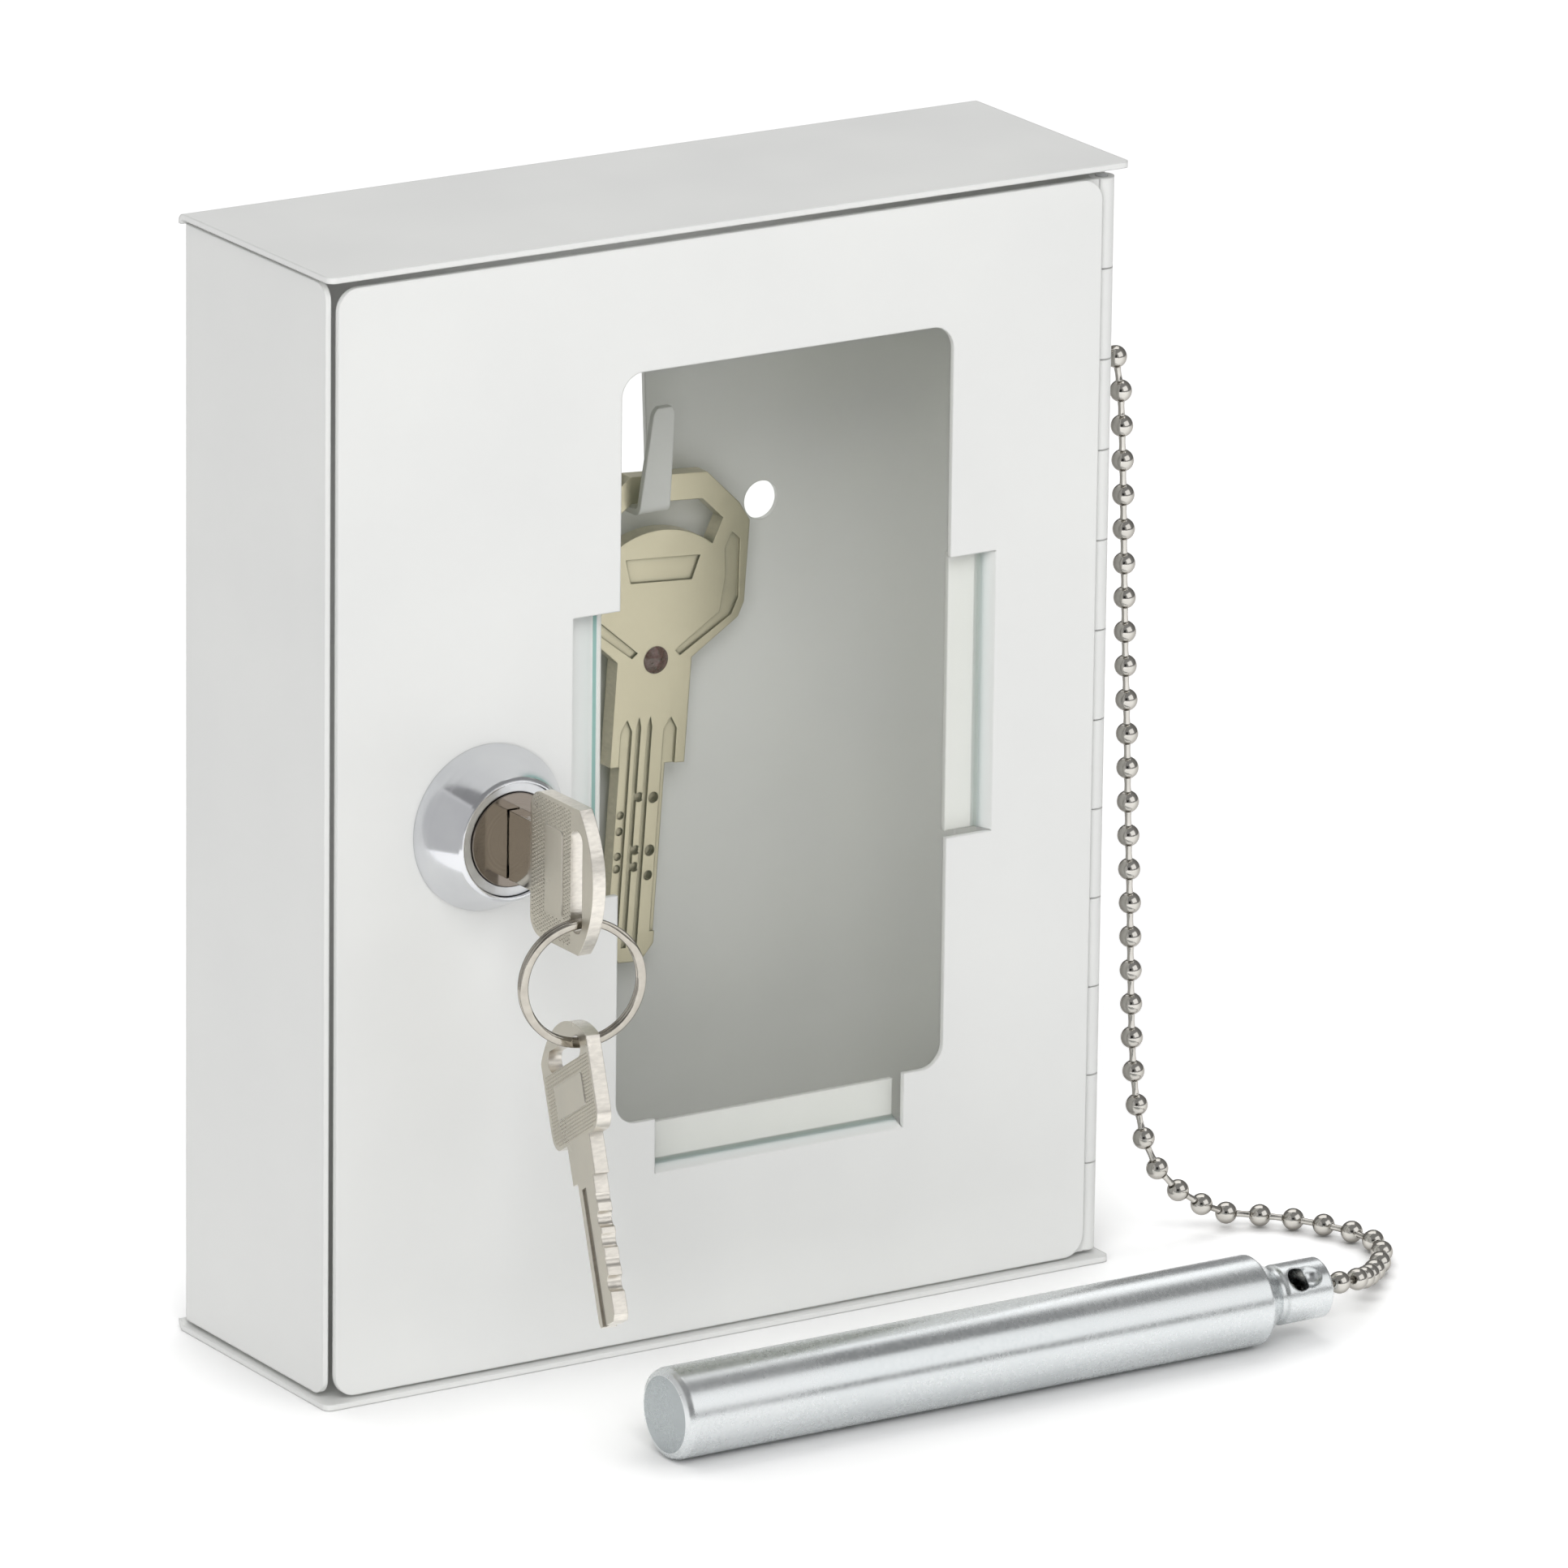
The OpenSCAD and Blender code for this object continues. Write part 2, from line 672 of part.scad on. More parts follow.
// The cam hangs down at rest, unlocked, and is turned to the left to lock
module lock_cam() {
    color("#aeb1b3") slab(cam_y, cam_t) difference() {
        union() {
            translate([lock_x, lock_z]) circle(d = cam_w);
            translate([lock_x - cam_w / 2, lock_z - cam_l + 2]) square([cam_w, cam_l - 2]);
            translate([lock_x - cam_w / 2, lock_z - cam_l]) round_rect(cam_w, 6, 2);
        }
        translate([lock_x - tenon_w / 2 - bore_play, lock_z - tenon_w / 2 - bore_play])
            square(tenon_w + 2 * bore_play);
    }
}

module cam_washer() {
    color("#b9bcbe") difference() {
        rod_y(lock_x, cam_y + cam_t, lock_z, tenon_w * sqrt(2) + 1.5, cam_washer_t);
        rod_y(lock_x, cam_y + cam_t - over, lock_z, cam_screw_d + 0.2, cam_washer_t + 2 * over);
    }
}

module cam_screw() {
    color("#b9bcbe") difference() {
        union() {
            rod_y(lock_x, barrel_back_y - 1.8, lock_z, cam_screw_d, cam_play + cam_t + cam_washer_t + 2);
            rod_y(lock_x, cam_y + cam_t + cam_washer_t, lock_z, 2 * cam_screw_d, 2);
        }
        for (turn = [0, 90])
            translate([lock_x, cam_y + cam_t + cam_washer_t + 1, lock_z]) rotate([0, turn, 0])
                translate([-2.2, 0, -0.4]) cube([4.4, 2, 0.8]);
    }
}

// Keys

// Outline of a lock key: u along the key from its shoulder to the bow's end, v across
module key_outline() {
    difference() {
        union() {
            translate([-blade_l + 1.5, -blade_w / 2]) square([blade_l, blade_w]);
            translate([-blade_l, 0]) intersection() {
                translate([0, -blade_w / 2]) square([3, blade_w]);
                translate([blade_w / 2 - 0.6, 0]) circle(d = blade_w * 1.15);
            }
            translate([0, -neck_w / 2 - bow_drop / 2]) square([neck_l + 1, neck_w]);
            translate([neck_l, -bow_w / 2 - bow_drop]) intersection() {
                round_rect(bow_l, bow_w, 2.5);
                translate([bow_l - bow_end_r, bow_w / 2]) circle(bow_end_r);
            }
        }
        translate([bow_slot_u - bow_slot_w / 2, -bow_slot_l / 2 - bow_drop])
            round_rect(bow_slot_w, bow_slot_l, bow_slot_w / 2 - 0.01);
    }
}

// The cuts along the blade's upper edge, one for each wafer
module key_cuts() {
    for (i = [0 : wafers - 1])
        translate([-3 - i * (blade_l - 5) / wafers, blade_w / 2 + 0.9 - (i * 2 % 3) * 0.3])
            circle(d = 2.2);
}

// A lock key standing in the plane of u along X and v along Z, its thickness about Y, with a raised
// pad on each side of the bow and a groove along each side of the blade
module key_body() {
    rotate([90, 0, 0]) difference() {
        union() {
            linear_extrude(key_t, center = true) difference() {
                key_outline();
                key_cuts();
            }
            translate([bow_slot_u - bow_slot_w / 2 - bow_pad_gap - bow_pad_w, -bow_pad_l / 2 - bow_drop])
                linear_extrude(key_t + 2 * bow_pad_rise, center = true)
                    round_rect(bow_pad_w, bow_pad_l, 0.4);
        }
        for (side = [0, 1]) mirror([0, 0, side])
            translate([-blade_l - over, -blade_w * 0.3, key_t / 2 - key_groove_t])
                cube([blade_l + over - 1, key_groove_w, key_groove_t + over]);
    }
}

module lock_key() {
    color(bright_nickel)
        translate([lock_x, plug_front_y - shoulder_gap, lock_z]) rotate([0, 0, -90]) key_body();
}

// The ring, turned to the left about its own middle
module split_ring() {
    color(bright_nickel) translate([lock_x, ring_y, ring_z])
        rotate([0, 0, -ring_turn]) rotate([90, 0, 0])
            rotate_extrude() translate([ring_mid_r, 0]) circle(d = ring_wire_d);
}

// The spare key hangs from the ring's lowest point, square to it, by the front end of its slot
module spare_key() {
    color(bright_nickel) translate([lock_x, ring_y, spare_z])
        rotate([0, 0, -ring_turn]) rotate([-spare_lean, 0, 0]) rotate([0, -90, -90]) rotate([180, 0, 0])
            translate([-spare_hang_u, 0, -spare_hang_v + bow_drop]) key_body();
}

// The stored key about its rivet: s across, w up towards the bow
module stored_outline() {
    half = stored_bow_half;
    stem_left = -stored_stem_w / 2 - 0.2;
    stem_right = stored_stem_w / 2 - 0.2;
    blade_left = -stored_blade_w / 2 - 0.8;
    blade_right = stored_blade_w / 2 - 0.8;
    tip_w = -stored_blade_l;
    difference() {
        polygon([[-half * 0.45, stored_top], [half * 0.45, stored_top], [half * 0.86, 20.5], [half, 18],
            [half, 7], [half * 0.94, 5], [stem_right, 0], [stem_right, -stored_shoulder],
            [blade_right, -stored_shoulder], [blade_right, tip_w + 2.4], [blade_right - 1.8, tip_w],
            [blade_left + 1.8, tip_w], [blade_left, tip_w + 2.4], [blade_left, -stored_shoulder],
            [stem_left, -stored_shoulder], [stem_left, 0], [-half * 0.94, 5], [-half, 7], [-half, 18],
            [-half * 0.86, 20.5]]);
        difference() {
            polygon([[-half * 0.42, stored_window_top], [half * 0.42, stored_window_top],
                [half * 0.68, 18.6], [half * 0.57, 15], [-half * 0.57, 15], [-half * 0.68, 18.6]]);
            translate([0, 17.6 - half]) circle(half);
        }
    }
}

// Puts what is drawn about the stored key's rivet in its place on the hook
module hang_stored() {
    translate([hook_x, 0, hook_z + stored_hang_play]) rotate([0, stored_lean, 0])
        translate([-stored_hang_s, 0, -stored_window_top]) children();
}

// What is pressed into the stored key's front: a band on each side of the bow, the field of the plain
// nameplate, the flanks of the blade and its grooves with their pointed ends
module stored_pressings() {
    half = stored_bow_half;
    for (side = [0, 1]) mirror([side, 0])
        polygon([[2.9, 1.1], [half * 0.72, 5.9], [half * 0.76, 10.7], [half * 0.73, 14.4], [half * 0.8, 16.6],
            [half * 0.9, 15.6], [half * 0.93, 7.7], [half * 0.86, 5.4], [3.7, 0.4]]);
    polygon([[-half * 0.44, 13.8], [half * 0.44, 13.8], [half * 0.36, 10.6], [-half * 0.36, 10.6]]);
    flank_low = -stored_blade_l + 4;
    for (flank = [[2, stored_blade_w / 2, 4], [-2.9, -stored_blade_w / 2 - 2, -4.6]]) {
        inner = flank[0];
        outer = flank[1];
        top = flank[2];
        polygon([[inner, flank_low], [outer, flank_low], [outer, -stored_shoulder - 0.5],
            [top, -stored_shoulder - 0.5], [top, -9.5], [(inner + top) / 2, -7.9], [inner, -9.5]]);
    }
    for (s = [-1.9, -0.2]) translate([s - stored_groove_w / 2, 0])
        polygon([[0, flank_low - 2], [stored_groove_w, flank_low - 2], [stored_groove_w, -9],
            [stored_groove_w / 2, -7.6], [0, -9]]);
}

module stored_key() {
    color("#b9ad8c") hang_stored() difference() {
        slab(stored_y, stored_t) stored_outline();
        rod_y(0, stored_y - over, 0, stored_rivet_d, stored_t + 2 * over);
        slab(stored_y - over, over + stored_relief) stored_pressings();
        for (dimple = stored_dimples)
            rod_y(dimple[0], stored_y - over, dimple[1], 2 * dimple[2], over + 2 * stored_relief);
    }
}

module stored_key_rivet() {
    color("#4a2230") hang_stored() {
        rod_y(0, stored_y, 0, stored_rivet_d, stored_t);
        intersection() {
            translate([0, stored_y + 2.4, 0]) sphere(r = 3);
            rod_y(0, stored_y - 2, 0, stored_rivet_d - 0.2, 2.5);
        }
    }
}

// Ball chain, whose two free runs are plain cords

// Direction of a route at its point n
function heading(route, n) =
    let (step = route[min(n + 1, len(route) - 1)] - route[max(n - 1, 0)]) step / norm(step);

// The eight corners of the cord's section at point n, side being a direction that the route never takes
function section(route, n, side) =
    let (u = cross(heading(route, n), side), v = cross(heading(route, n), u))
    [for (turn = [0 : 45 : 315]) route[n] + ball_d / 2 * (cos(turn) * u / norm(u) + sin(turn) * v / norm(v))];

// A plain cord of the balls' diameter along a route
module cord(route, side) {
    last = len(route) - 1;
    polyhedron(
        [for (n = [0 : last]) each section(route, n, side)],
        [
            [for (k = [0 : 7]) k],
            for (n = [0 : last - 1], k = [0 : 7])
                [8 * n + k, 8 * (n + 1) + k, 8 * (n + 1) + (k + 1) % 8, 8 * n + (k + 1) % 8],
            [for (k = [7 : -1 : 0]) 8 * last + k]
        ]
    );
}

// Balls at the given places along X, joined by one link that runs from the first place to the last
module beads(places, link_places) {
    rotate([0, 90, 0]) rotate_extrude() intersection() {
        union() {
            for (x = places) translate([0, x]) circle(d = ball_d);
            translate([-link_d / 2, link_places[0]]) square([link_d, link_places[1] - link_places[0]]);
        }
        translate([0, link_places[0] - ball_d])
            square([ball_d, link_places[1] - link_places[0] + 2 * ball_d]);
    }
}

// The ball that the keyhole holds inside the case, with its link out to the chain
module chain_anchor() {
    color(bright_nickel) translate([wall_out_x, chain_y, chain_z])
        beads([-anchor_inset], [-anchor_inset, hanging_steps[0][0]]);
}

module hanging_chain() {
    color(bright_nickel) cord(hanging_route, [0, 1, 0]);
}

// The ball on which the chain bends when the striker is drawn aside
module chain_swivel() {
    color(bright_nickel) translate(hanging_route[len(hanging_route) - 1]) sphere(d = ball_d);
}

module floor_chain() {
    color(bright_nickel) cord(floor_route, [0, 0, 1]);
}

// The chain's last balls, of which the striker's end piece holds the innermost
module chain_tail() {
    color(bright_nickel) translate([striker_tail_x, striker_y, striker_d / 2])
        beads(tail_balls, [tail_balls[0], tail_balls[2]]);
}

// Striker

module striker() {
    r = striker_d / 2;
    end_r = striker_end_d / 2;
    shoulder = striker_l - striker_end_l;
    color("#b4bbbf") translate([striker_tail_x - striker_l, striker_y, r]) difference() {
        rotate([0, 90, 0]) rotate_extrude() polygon([[0, 0], [r - 1, 0], [r - 0.3, 0.3], [r, 1],
            [r, shoulder], [r - 1.2, shoulder + 1.4], [end_r - 0.4, shoulder + 3],
            [end_r - 0.4, shoulder + 3.6], [end_r, shoulder + 4], [end_r, striker_l - 0.3],
            [end_r - 0.3, striker_l], [0, striker_l]]);
        rod_x(striker_l - striker_mouth_l, 0, 0, striker_bore_d, striker_mouth_l + over);
        rod_x(striker_l + tail_balls[0], 0, 0, striker_throat_d, -tail_balls[0]);
        rod_x(striker_l + tail_balls[0] - striker_seat_l / 2, 0, 0, striker_bore_d, striker_seat_l);
        translate([striker_l + tail_balls[0], 0, 0]) rotate([45, 0, 0]) cylinder(d = striker_bore_d, h = r);
        translate([striker_l + tail_balls[0] + striker_throat_d, 0, 0]) rotate([45, 0, 0])
            translate([0, 0, end_r + 0.6]) sphere(d = striker_notch_d);
    }
}

case_shell();
lock_keeper();
case_hinge_leaf();
hinge_pin();
door_panel();
door_hinge_leaf();
glass_pane();
lock_bezel();
lock_barrel();
lock_washer();
lock_nut();
lock_plug();
lock_wafers();
lock_cam();
cam_washer();
cam_screw();
lock_key();
split_ring();
spare_key();
stored_key();
stored_key_rivet();
chain_anchor();
hanging_chain();
chain_swivel();
floor_chain();
chain_tail();
striker();
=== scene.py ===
import math

import bpy
import numpy as np
from mathutils import Matrix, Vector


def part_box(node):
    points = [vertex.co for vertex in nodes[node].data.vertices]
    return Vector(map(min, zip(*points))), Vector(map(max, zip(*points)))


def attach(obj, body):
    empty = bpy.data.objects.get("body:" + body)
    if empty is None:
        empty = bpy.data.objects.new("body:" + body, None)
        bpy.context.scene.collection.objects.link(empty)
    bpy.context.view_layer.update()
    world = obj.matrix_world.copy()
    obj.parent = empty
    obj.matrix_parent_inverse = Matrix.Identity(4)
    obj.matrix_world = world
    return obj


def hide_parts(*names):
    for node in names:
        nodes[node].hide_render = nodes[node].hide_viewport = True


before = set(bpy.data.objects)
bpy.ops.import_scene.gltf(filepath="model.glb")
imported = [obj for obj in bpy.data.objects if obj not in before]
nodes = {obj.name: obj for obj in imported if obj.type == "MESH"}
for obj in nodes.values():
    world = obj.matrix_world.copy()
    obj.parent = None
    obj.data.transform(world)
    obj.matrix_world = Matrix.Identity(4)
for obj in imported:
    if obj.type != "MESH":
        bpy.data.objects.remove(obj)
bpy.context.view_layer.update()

MM = 0.001

# The chain's middle line, through the same points as the solids' cords: millimetres from the place
# on the floor below its hole
CHAIN_MOUTH = MM * np.array([59.4, -11.78, 0])
HANGING_ROUTE = CHAIN_MOUTH + MM * np.array([
    (0.3, 0, 125), (1.3, 0, 124.9), (2.4, -0.2, 123.9), (3.3, -0.5, 121.8), (3.8, -0.8, 118.6),
    (4, -1.1, 113), (4.3, -1.2, 105), (4.6, -1.2, 97), (4.9, -1.2, 89), (5.2, -1.2, 81),
    (5.6, -1.2, 73), (5.9, -1.2, 65), (6.2, -1.2, 57), (6.6, -1.2, 49), (6.9, -1.2, 41),
    (7.2, -1.2, 33), (7.5, -1.3, 26), (7.9, -1.7, 20), (8.5, -2.4, 15.4), (9.7, -3.2, 11.4),
    (12.3, -3.8, 7.8), (16.5, -3.8, 4.6), (21.6, -3.4, 2.1),
])
FLOOR_ROUTE = CHAIN_MOUTH + MM * np.array([
    (23.3, -4.1, 1.9), (25.9, -5.9, 1.7), (28.8, -9.1, 1.6), (31, -13.2, 1.6), (32.5, -17.2, 1.6),
    (32.9, -21.2, 1.6), (31.7, -25.2, 1.6), (29.2, -28.8, 1.6), (26.2, -32, 1.9),
    (22.9, -35.5, 2.7), (19.5, -39.1, 3.9), (16.4, -42.1, 5.1), (13.6, -43.6, 5.8),
])
BALL_R = 1.5 * MM
LINK_R = 0.42 * MM
BALL_PITCH = 4.62 * MM


# Meshes

def new_object(name, points, faces):
    """An object with its own mesh, placed at the origin."""
    made = bpy.data.objects.new(name, bpy.data.meshes.new(name))
    made.data.from_pydata(points, [], faces)
    bpy.context.scene.collection.objects.link(made)
    return made


def piece_from_grids(name, grids):
    """One mesh object from grids of points: each grid is (rows, columns, 3), its columns close on
    themselves, and its first and last rows have shrunk to a point or are closed by a flat lid."""
    points = []
    faces = []
    start = 0
    for grid in grids:
        rows, columns = grid.shape[:2]
        index = start + np.arange(rows * columns).reshape(rows, columns)
        following = np.roll(index, -1, axis=1)
        quads = np.stack([index[:-1], following[:-1], following[1:], index[1:]], axis=-1)
        faces.extend(quads.reshape(-1, 4).tolist())
        faces.append(index[0][::-1].tolist())
        faces.append(index[-1].tolist())
        points.append(grid.reshape(-1, 3))
        start += rows * columns
    made = new_object(name, np.concatenate(points).tolist(), faces)
    made.data.validate()
    made.data.polygons.foreach_set("use_smooth", np.ones(len(made.data.polygons), bool))
    made.data.update()
    return made


def unit(vectors):
    """Vectors of length one: v / |v|."""
    return vectors / np.linalg.norm(vectors, axis=-1, keepdims=True)


def smooth_line(points, steps=8):
    """A Catmull-Rom curve through the points: on each leg the cubic that passes through both ends
    with slopes of half the chord between their neighbours."""
    padded = np.concatenate([2 * points[:1] - points[1:2], points, 2 * points[-1:] - points[-2:-1]])
    a, b, c, d = (padded[i:len(padded) - 3 + i, None] for i in range(4))
    t = (np.arange(steps) / steps)[None, :, None]
    legs = 0.5 * (
        2 * b + (c - a) * t
        + (2 * a - 5 * b + 4 * c - d) * t ** 2
        + (3 * b - a - 3 * c + d) * t ** 3
    )
    return np.concatenate([legs.reshape(-1, 3), points[-1:]])


def line_length(line):
    """Sum of the distances between neighbouring points."""
    return float(np.linalg.norm(np.diff(line, axis=0), axis=1).sum())


def spaced_along(line, count):
    """Points at count equal steps of arc length along a line, both ends included."""
    reach = np.concatenate([[0], np.cumsum(np.linalg.norm(np.diff(line, axis=0), axis=1))])
    wanted = np.linspace(0, reach[-1], count + 1)
    return np.stack([np.interp(wanted, reach, line[:, axis]) for axis in range(3)], axis=1)


def turned_about(centres, directions, profile, columns=20):
    """Bodies of revolution, one at each centre about its direction d:
    c + h d + r (cos a u + sin a v) over the profile's pairs (h, r), with u and v square to d."""
    d = unit(directions)[:, None, None]
    helper = np.where(np.abs(d[..., 2:]) > 0.9, [1.0, 0.0, 0.0], [0.0, 0.0, 1.0])
    u = unit(np.cross(d, helper))
    v = np.cross(d, u)
    angle = np.linspace(0, 2 * math.pi, columns, endpoint=False)[None, None, :, None]
    h = profile[None, :, 0, None, None]
    r = profile[None, :, 1, None, None]
    return list(centres[:, None, None] + h * d + r * (np.cos(angle) * u + np.sin(angle) * v))


def ball_profile():
    """Half section of a chain ball: a circle from its hole's rim to the other rim, with a rolled
    lip and a shallow cup inside each hole."""
    rim_angle = 0.42
    sweep = np.linspace(rim_angle, math.pi - rim_angle, 15)
    sphere = np.stack([-np.cos(sweep), np.sin(sweep)], axis=1)
    cup = np.array([(-0.72, 0.0), (-0.72, 0.3), (-0.86, 0.36), (-0.93, 0.38)])
    return BALL_R * np.concatenate([cup, sphere, cup[::-1] * (-1, 1)])


def chain_piece(name, balls, first=0, last=None):
    """Balls at the given points, each turned along the chain, and a waisted link between
    neighbours, whose ends are buried in the balls: its radius is LINK_R (1 + 0.25 x^2) with x from
    -1 to 1 along it."""
    ahead = np.concatenate([balls[1:], 2 * balls[-1:] - balls[-2:-1]])
    behind = np.concatenate([2 * balls[:1] - balls[1:2], balls[:-1]])
    chosen = slice(first, last)
    grids = turned_about(balls[chosen], (ahead - behind)[chosen], ball_profile())
    middles = (balls[1:] + balls[:-1]) / 2
    spans = balls[1:] - balls[:-1]
    buried = 0.6 * BALL_R
    half = np.linalg.norm(spans, axis=1).min() / 2 - buried
    x = np.linspace(-1, 1, 7)
    links = np.stack([half * x, LINK_R * (1 + 0.25 * x ** 2)], axis=1)
    grids += turned_about(middles, spans, links, columns=12)
    return piece_from_grids(name, grids)


# Material helpers

def add_node(tree, kind, inputs=None, **settings):
    """A node of the given kind with its settings and input values; an output given as an input
    value is linked to that input."""
    made = tree.nodes.new(kind)
    for key, value in settings.items():
        setattr(made, key, value)
    feed(tree, made, inputs or {})
    return made


def feed(tree, node, inputs):
    """Gives a node its input values, or links the outputs given as values."""
    for key, value in inputs.items():
        if isinstance(value, bpy.types.NodeSocket):
            tree.links.new(value, node.inputs[key])
        else:
            node.inputs[key].default_value = value


def calculated(tree, operation, *values):
    """The result of a math node on one or two numbers or outputs."""
    made = add_node(tree, "ShaderNodeMath", dict(enumerate(values)), operation=operation)
    return made.outputs["Value"]


def on_vectors(tree, operation, *values):
    """A vector math node on vectors or outputs."""
    return add_node(tree, "ShaderNodeVectorMath", dict(enumerate(values)), operation=operation)


def mixed_color(tree, factor, low, high):
    """A colour between two by a factor output; each is red, green and blue, or an output."""
    ends = [end if isinstance(end, bpy.types.NodeSocket) else (*end, 1) for end in (low, high)]
    mix = add_node(tree, "ShaderNodeMix", {0: factor, 6: ends[0], 7: ends[1]}, data_type="RGBA")
    return mix.outputs[2]


def ranged(tree, value, low, high, start=0.0, stop=1.0):
    """A value spread from start..stop over low..high."""
    spread = add_node(tree, "ShaderNodeMapRange", {
        "Value": value, "From Min": start, "From Max": stop, "To Min": low, "To Max": high,
    })
    return spread.outputs["Result"]


def object_place(tree):
    """The place on the piece, in Object coordinates."""
    return add_node(tree, "ShaderNodeTexCoord").outputs["Object"]


def axis_part(tree, vector, axis):
    """One part of a vector output, by its axis."""
    return add_node(tree, "ShaderNodeSeparateXYZ", {"Vector": vector}).outputs[axis]


def new_group(name, inputs, outputs):
    """An empty shader group, what it is given, and its output node; an input is (name, kind,
    starting value) and an output is (name, kind)."""
    tree = bpy.data.node_groups.new(name, "ShaderNodeTree")
    for label, kind, value in inputs:
        tree.interface.new_socket(label, in_out="INPUT", socket_type=kind).default_value = value
    for label, kind in outputs:
        tree.interface.new_socket(label, in_out="OUTPUT", socket_type=kind)
    return tree, tree.nodes.new("NodeGroupInput").outputs, tree.nodes.new("NodeGroupOutput")


FLOAT = "NodeSocketFloat"
VECTOR = "NodeSocketVector"


def rounded_edge_group():
    """Edges that catch light as rounded ones do, and a mask that is 1 on them: the mask is the
    angle between the rounded and the flat normal, spread over 0 to 1."""
    tree, given, result = new_group(
        "rounded edge", [("Radius", FLOAT, 0.0003)], [("Normal", VECTOR), ("Edge", FLOAT)],
    )
    radius = {"Radius": given["Radius"]}
    bevel = add_node(tree, "ShaderNodeBevel", radius, samples=6).outputs["Normal"]
    flat = add_node(tree, "ShaderNodeNewGeometry").outputs["Normal"]
    agreement = on_vectors(tree, "DOT_PRODUCT", bevel, flat).outputs["Value"]
    feed(tree, result, {"Normal": bevel, "Edge": ranged(tree, agreement, 0.0, 1.0, 0.995, 0.8)})
    return tree


def surface_noise_group():
    """Noise over the piece in Object coordinates, stretched by a vector and spread over 0 to 1."""
    tree, given, result = new_group(
        "surface noise",
        [("Stretch", VECTOR, (1, 1, 1)), ("Scale", FLOAT, 100.0), ("Detail", FLOAT, 2.0)],
        [("Value", FLOAT)],
    )
    stretched = on_vectors(tree, "MULTIPLY", object_place(tree), given["Stretch"])
    noise = add_node(tree, "ShaderNodeTexNoise", {
        "Vector": stretched.outputs["Vector"], "Scale": given["Scale"], "Detail": given["Detail"],
    })
    feed(tree, result, {"Value": ranged(tree, noise.outputs["Fac"], 0.0, 1.0, 0.3, 0.7)})
    return tree


def turned_lines_group():
    """Fine turned lines: noise over the distance from an axis along Y through a centre, so that the
    lines are circles about it."""
    tree, given, result = new_group(
        "turned lines",
        [("Centre", VECTOR, (0, 0, 0)), ("Scale", FLOAT, 3000.0)],
        [("Value", FLOAT)],
    )
    off = on_vectors(tree, "SUBTRACT", object_place(tree), given["Centre"]).outputs["Vector"]
    flat = on_vectors(tree, "MULTIPLY", off, (1, 0, 1)).outputs["Vector"]
    distance = on_vectors(tree, "LENGTH", flat).outputs["Value"]
    noise = add_node(tree, "ShaderNodeTexNoise", {
        "W": distance, "Scale": given["Scale"], "Detail": 2.0,
    }, noise_dimensions="1D")
    feed(tree, result, {"Value": noise.outputs["Fac"]})
    return tree


def spangle_group():
    """Crystals of a zinc coat: a level per cell of a warped Voronoi pattern."""
    tree, given, result = new_group("spangle", [("Scale", FLOAT, 900.0)], [("Value", FLOAT)])
    place = object_place(tree)
    warp = add_node(tree, "ShaderNodeTexNoise", {"Vector": place, "Scale": 700.0}).outputs["Color"]
    reach = (0.0008,) * 3
    moved = on_vectors(tree, "MULTIPLY_ADD", warp, reach, place).outputs["Vector"]
    cells = add_node(tree, "ShaderNodeTexVoronoi", {"Vector": moved, "Scale": given["Scale"]})
    grey = add_node(tree, "ShaderNodeRGBToBW", {"Color": cells.outputs["Color"]})
    feed(tree, result, {"Value": grey.outputs["Val"]})
    return tree


GROUPS = {
    "edge": rounded_edge_group(),
    "noise": surface_noise_group(),
    "turned": turned_lines_group(),
    "spangle": spangle_group(),
}


def use_group(tree, name, **inputs):
    """The outputs of one of the groups, placed in a material with its own values."""
    made = add_node(tree, "ShaderNodeGroup", node_tree=GROUPS[name])
    feed(tree, made, inputs)
    return made.outputs


def pattern(tree, name, **inputs):
    """The value of one of the groups that make a pattern."""
    return use_group(tree, name, **inputs)["Value"]


def new_material(name, **principled):
    """A material with a Principled BSDF on which the given constants are set."""
    made = bpy.data.materials.new(name)
    made.use_nodes = True
    shader = made.node_tree.nodes["Principled BSDF"]
    for key, value in principled.items():
        shader.inputs[key.replace("_", " ")].default_value = value
    return made, made.node_tree, shader


def toned(tree, shader, color, roughness):
    """Feeds a colour and a roughness into the shader."""
    feed(tree, shader, {"Base Color": color, "Roughness": roughness})


def bumped(tree, shader, height, distance, normal, strength):
    """Feeds a bump of the given height, in metres, on top of a normal into the shader."""
    bump = add_node(tree, "ShaderNodeBump", {
        "Height": height, "Distance": distance, "Strength": strength, "Normal": normal,
    })
    feed(tree, shader, {"Normal": bump.outputs["Normal"]})


# Materials

def powder_coat():
    """White powder coat: a fine orange peel under a half gloss, over faint clouds."""
    made, tree, shader = new_material("white powder coat", IOR=1.5, Specular_IOR_Level=0.45)
    edge = use_group(tree, "edge", Radius=0.00035)
    cloud = pattern(tree, "noise", Scale=40.0, Detail=3.0)
    peel = pattern(tree, "noise", Scale=1500.0, Detail=3.0)
    color = mixed_color(tree, cloud, (0.80, 0.805, 0.792), (0.83, 0.835, 0.818))
    toned(tree, shader, color, ranged(tree, cloud, 0.40, 0.47))
    bumped(tree, shader, peel, 0.00001, edge["Normal"], 0.25)
    return made


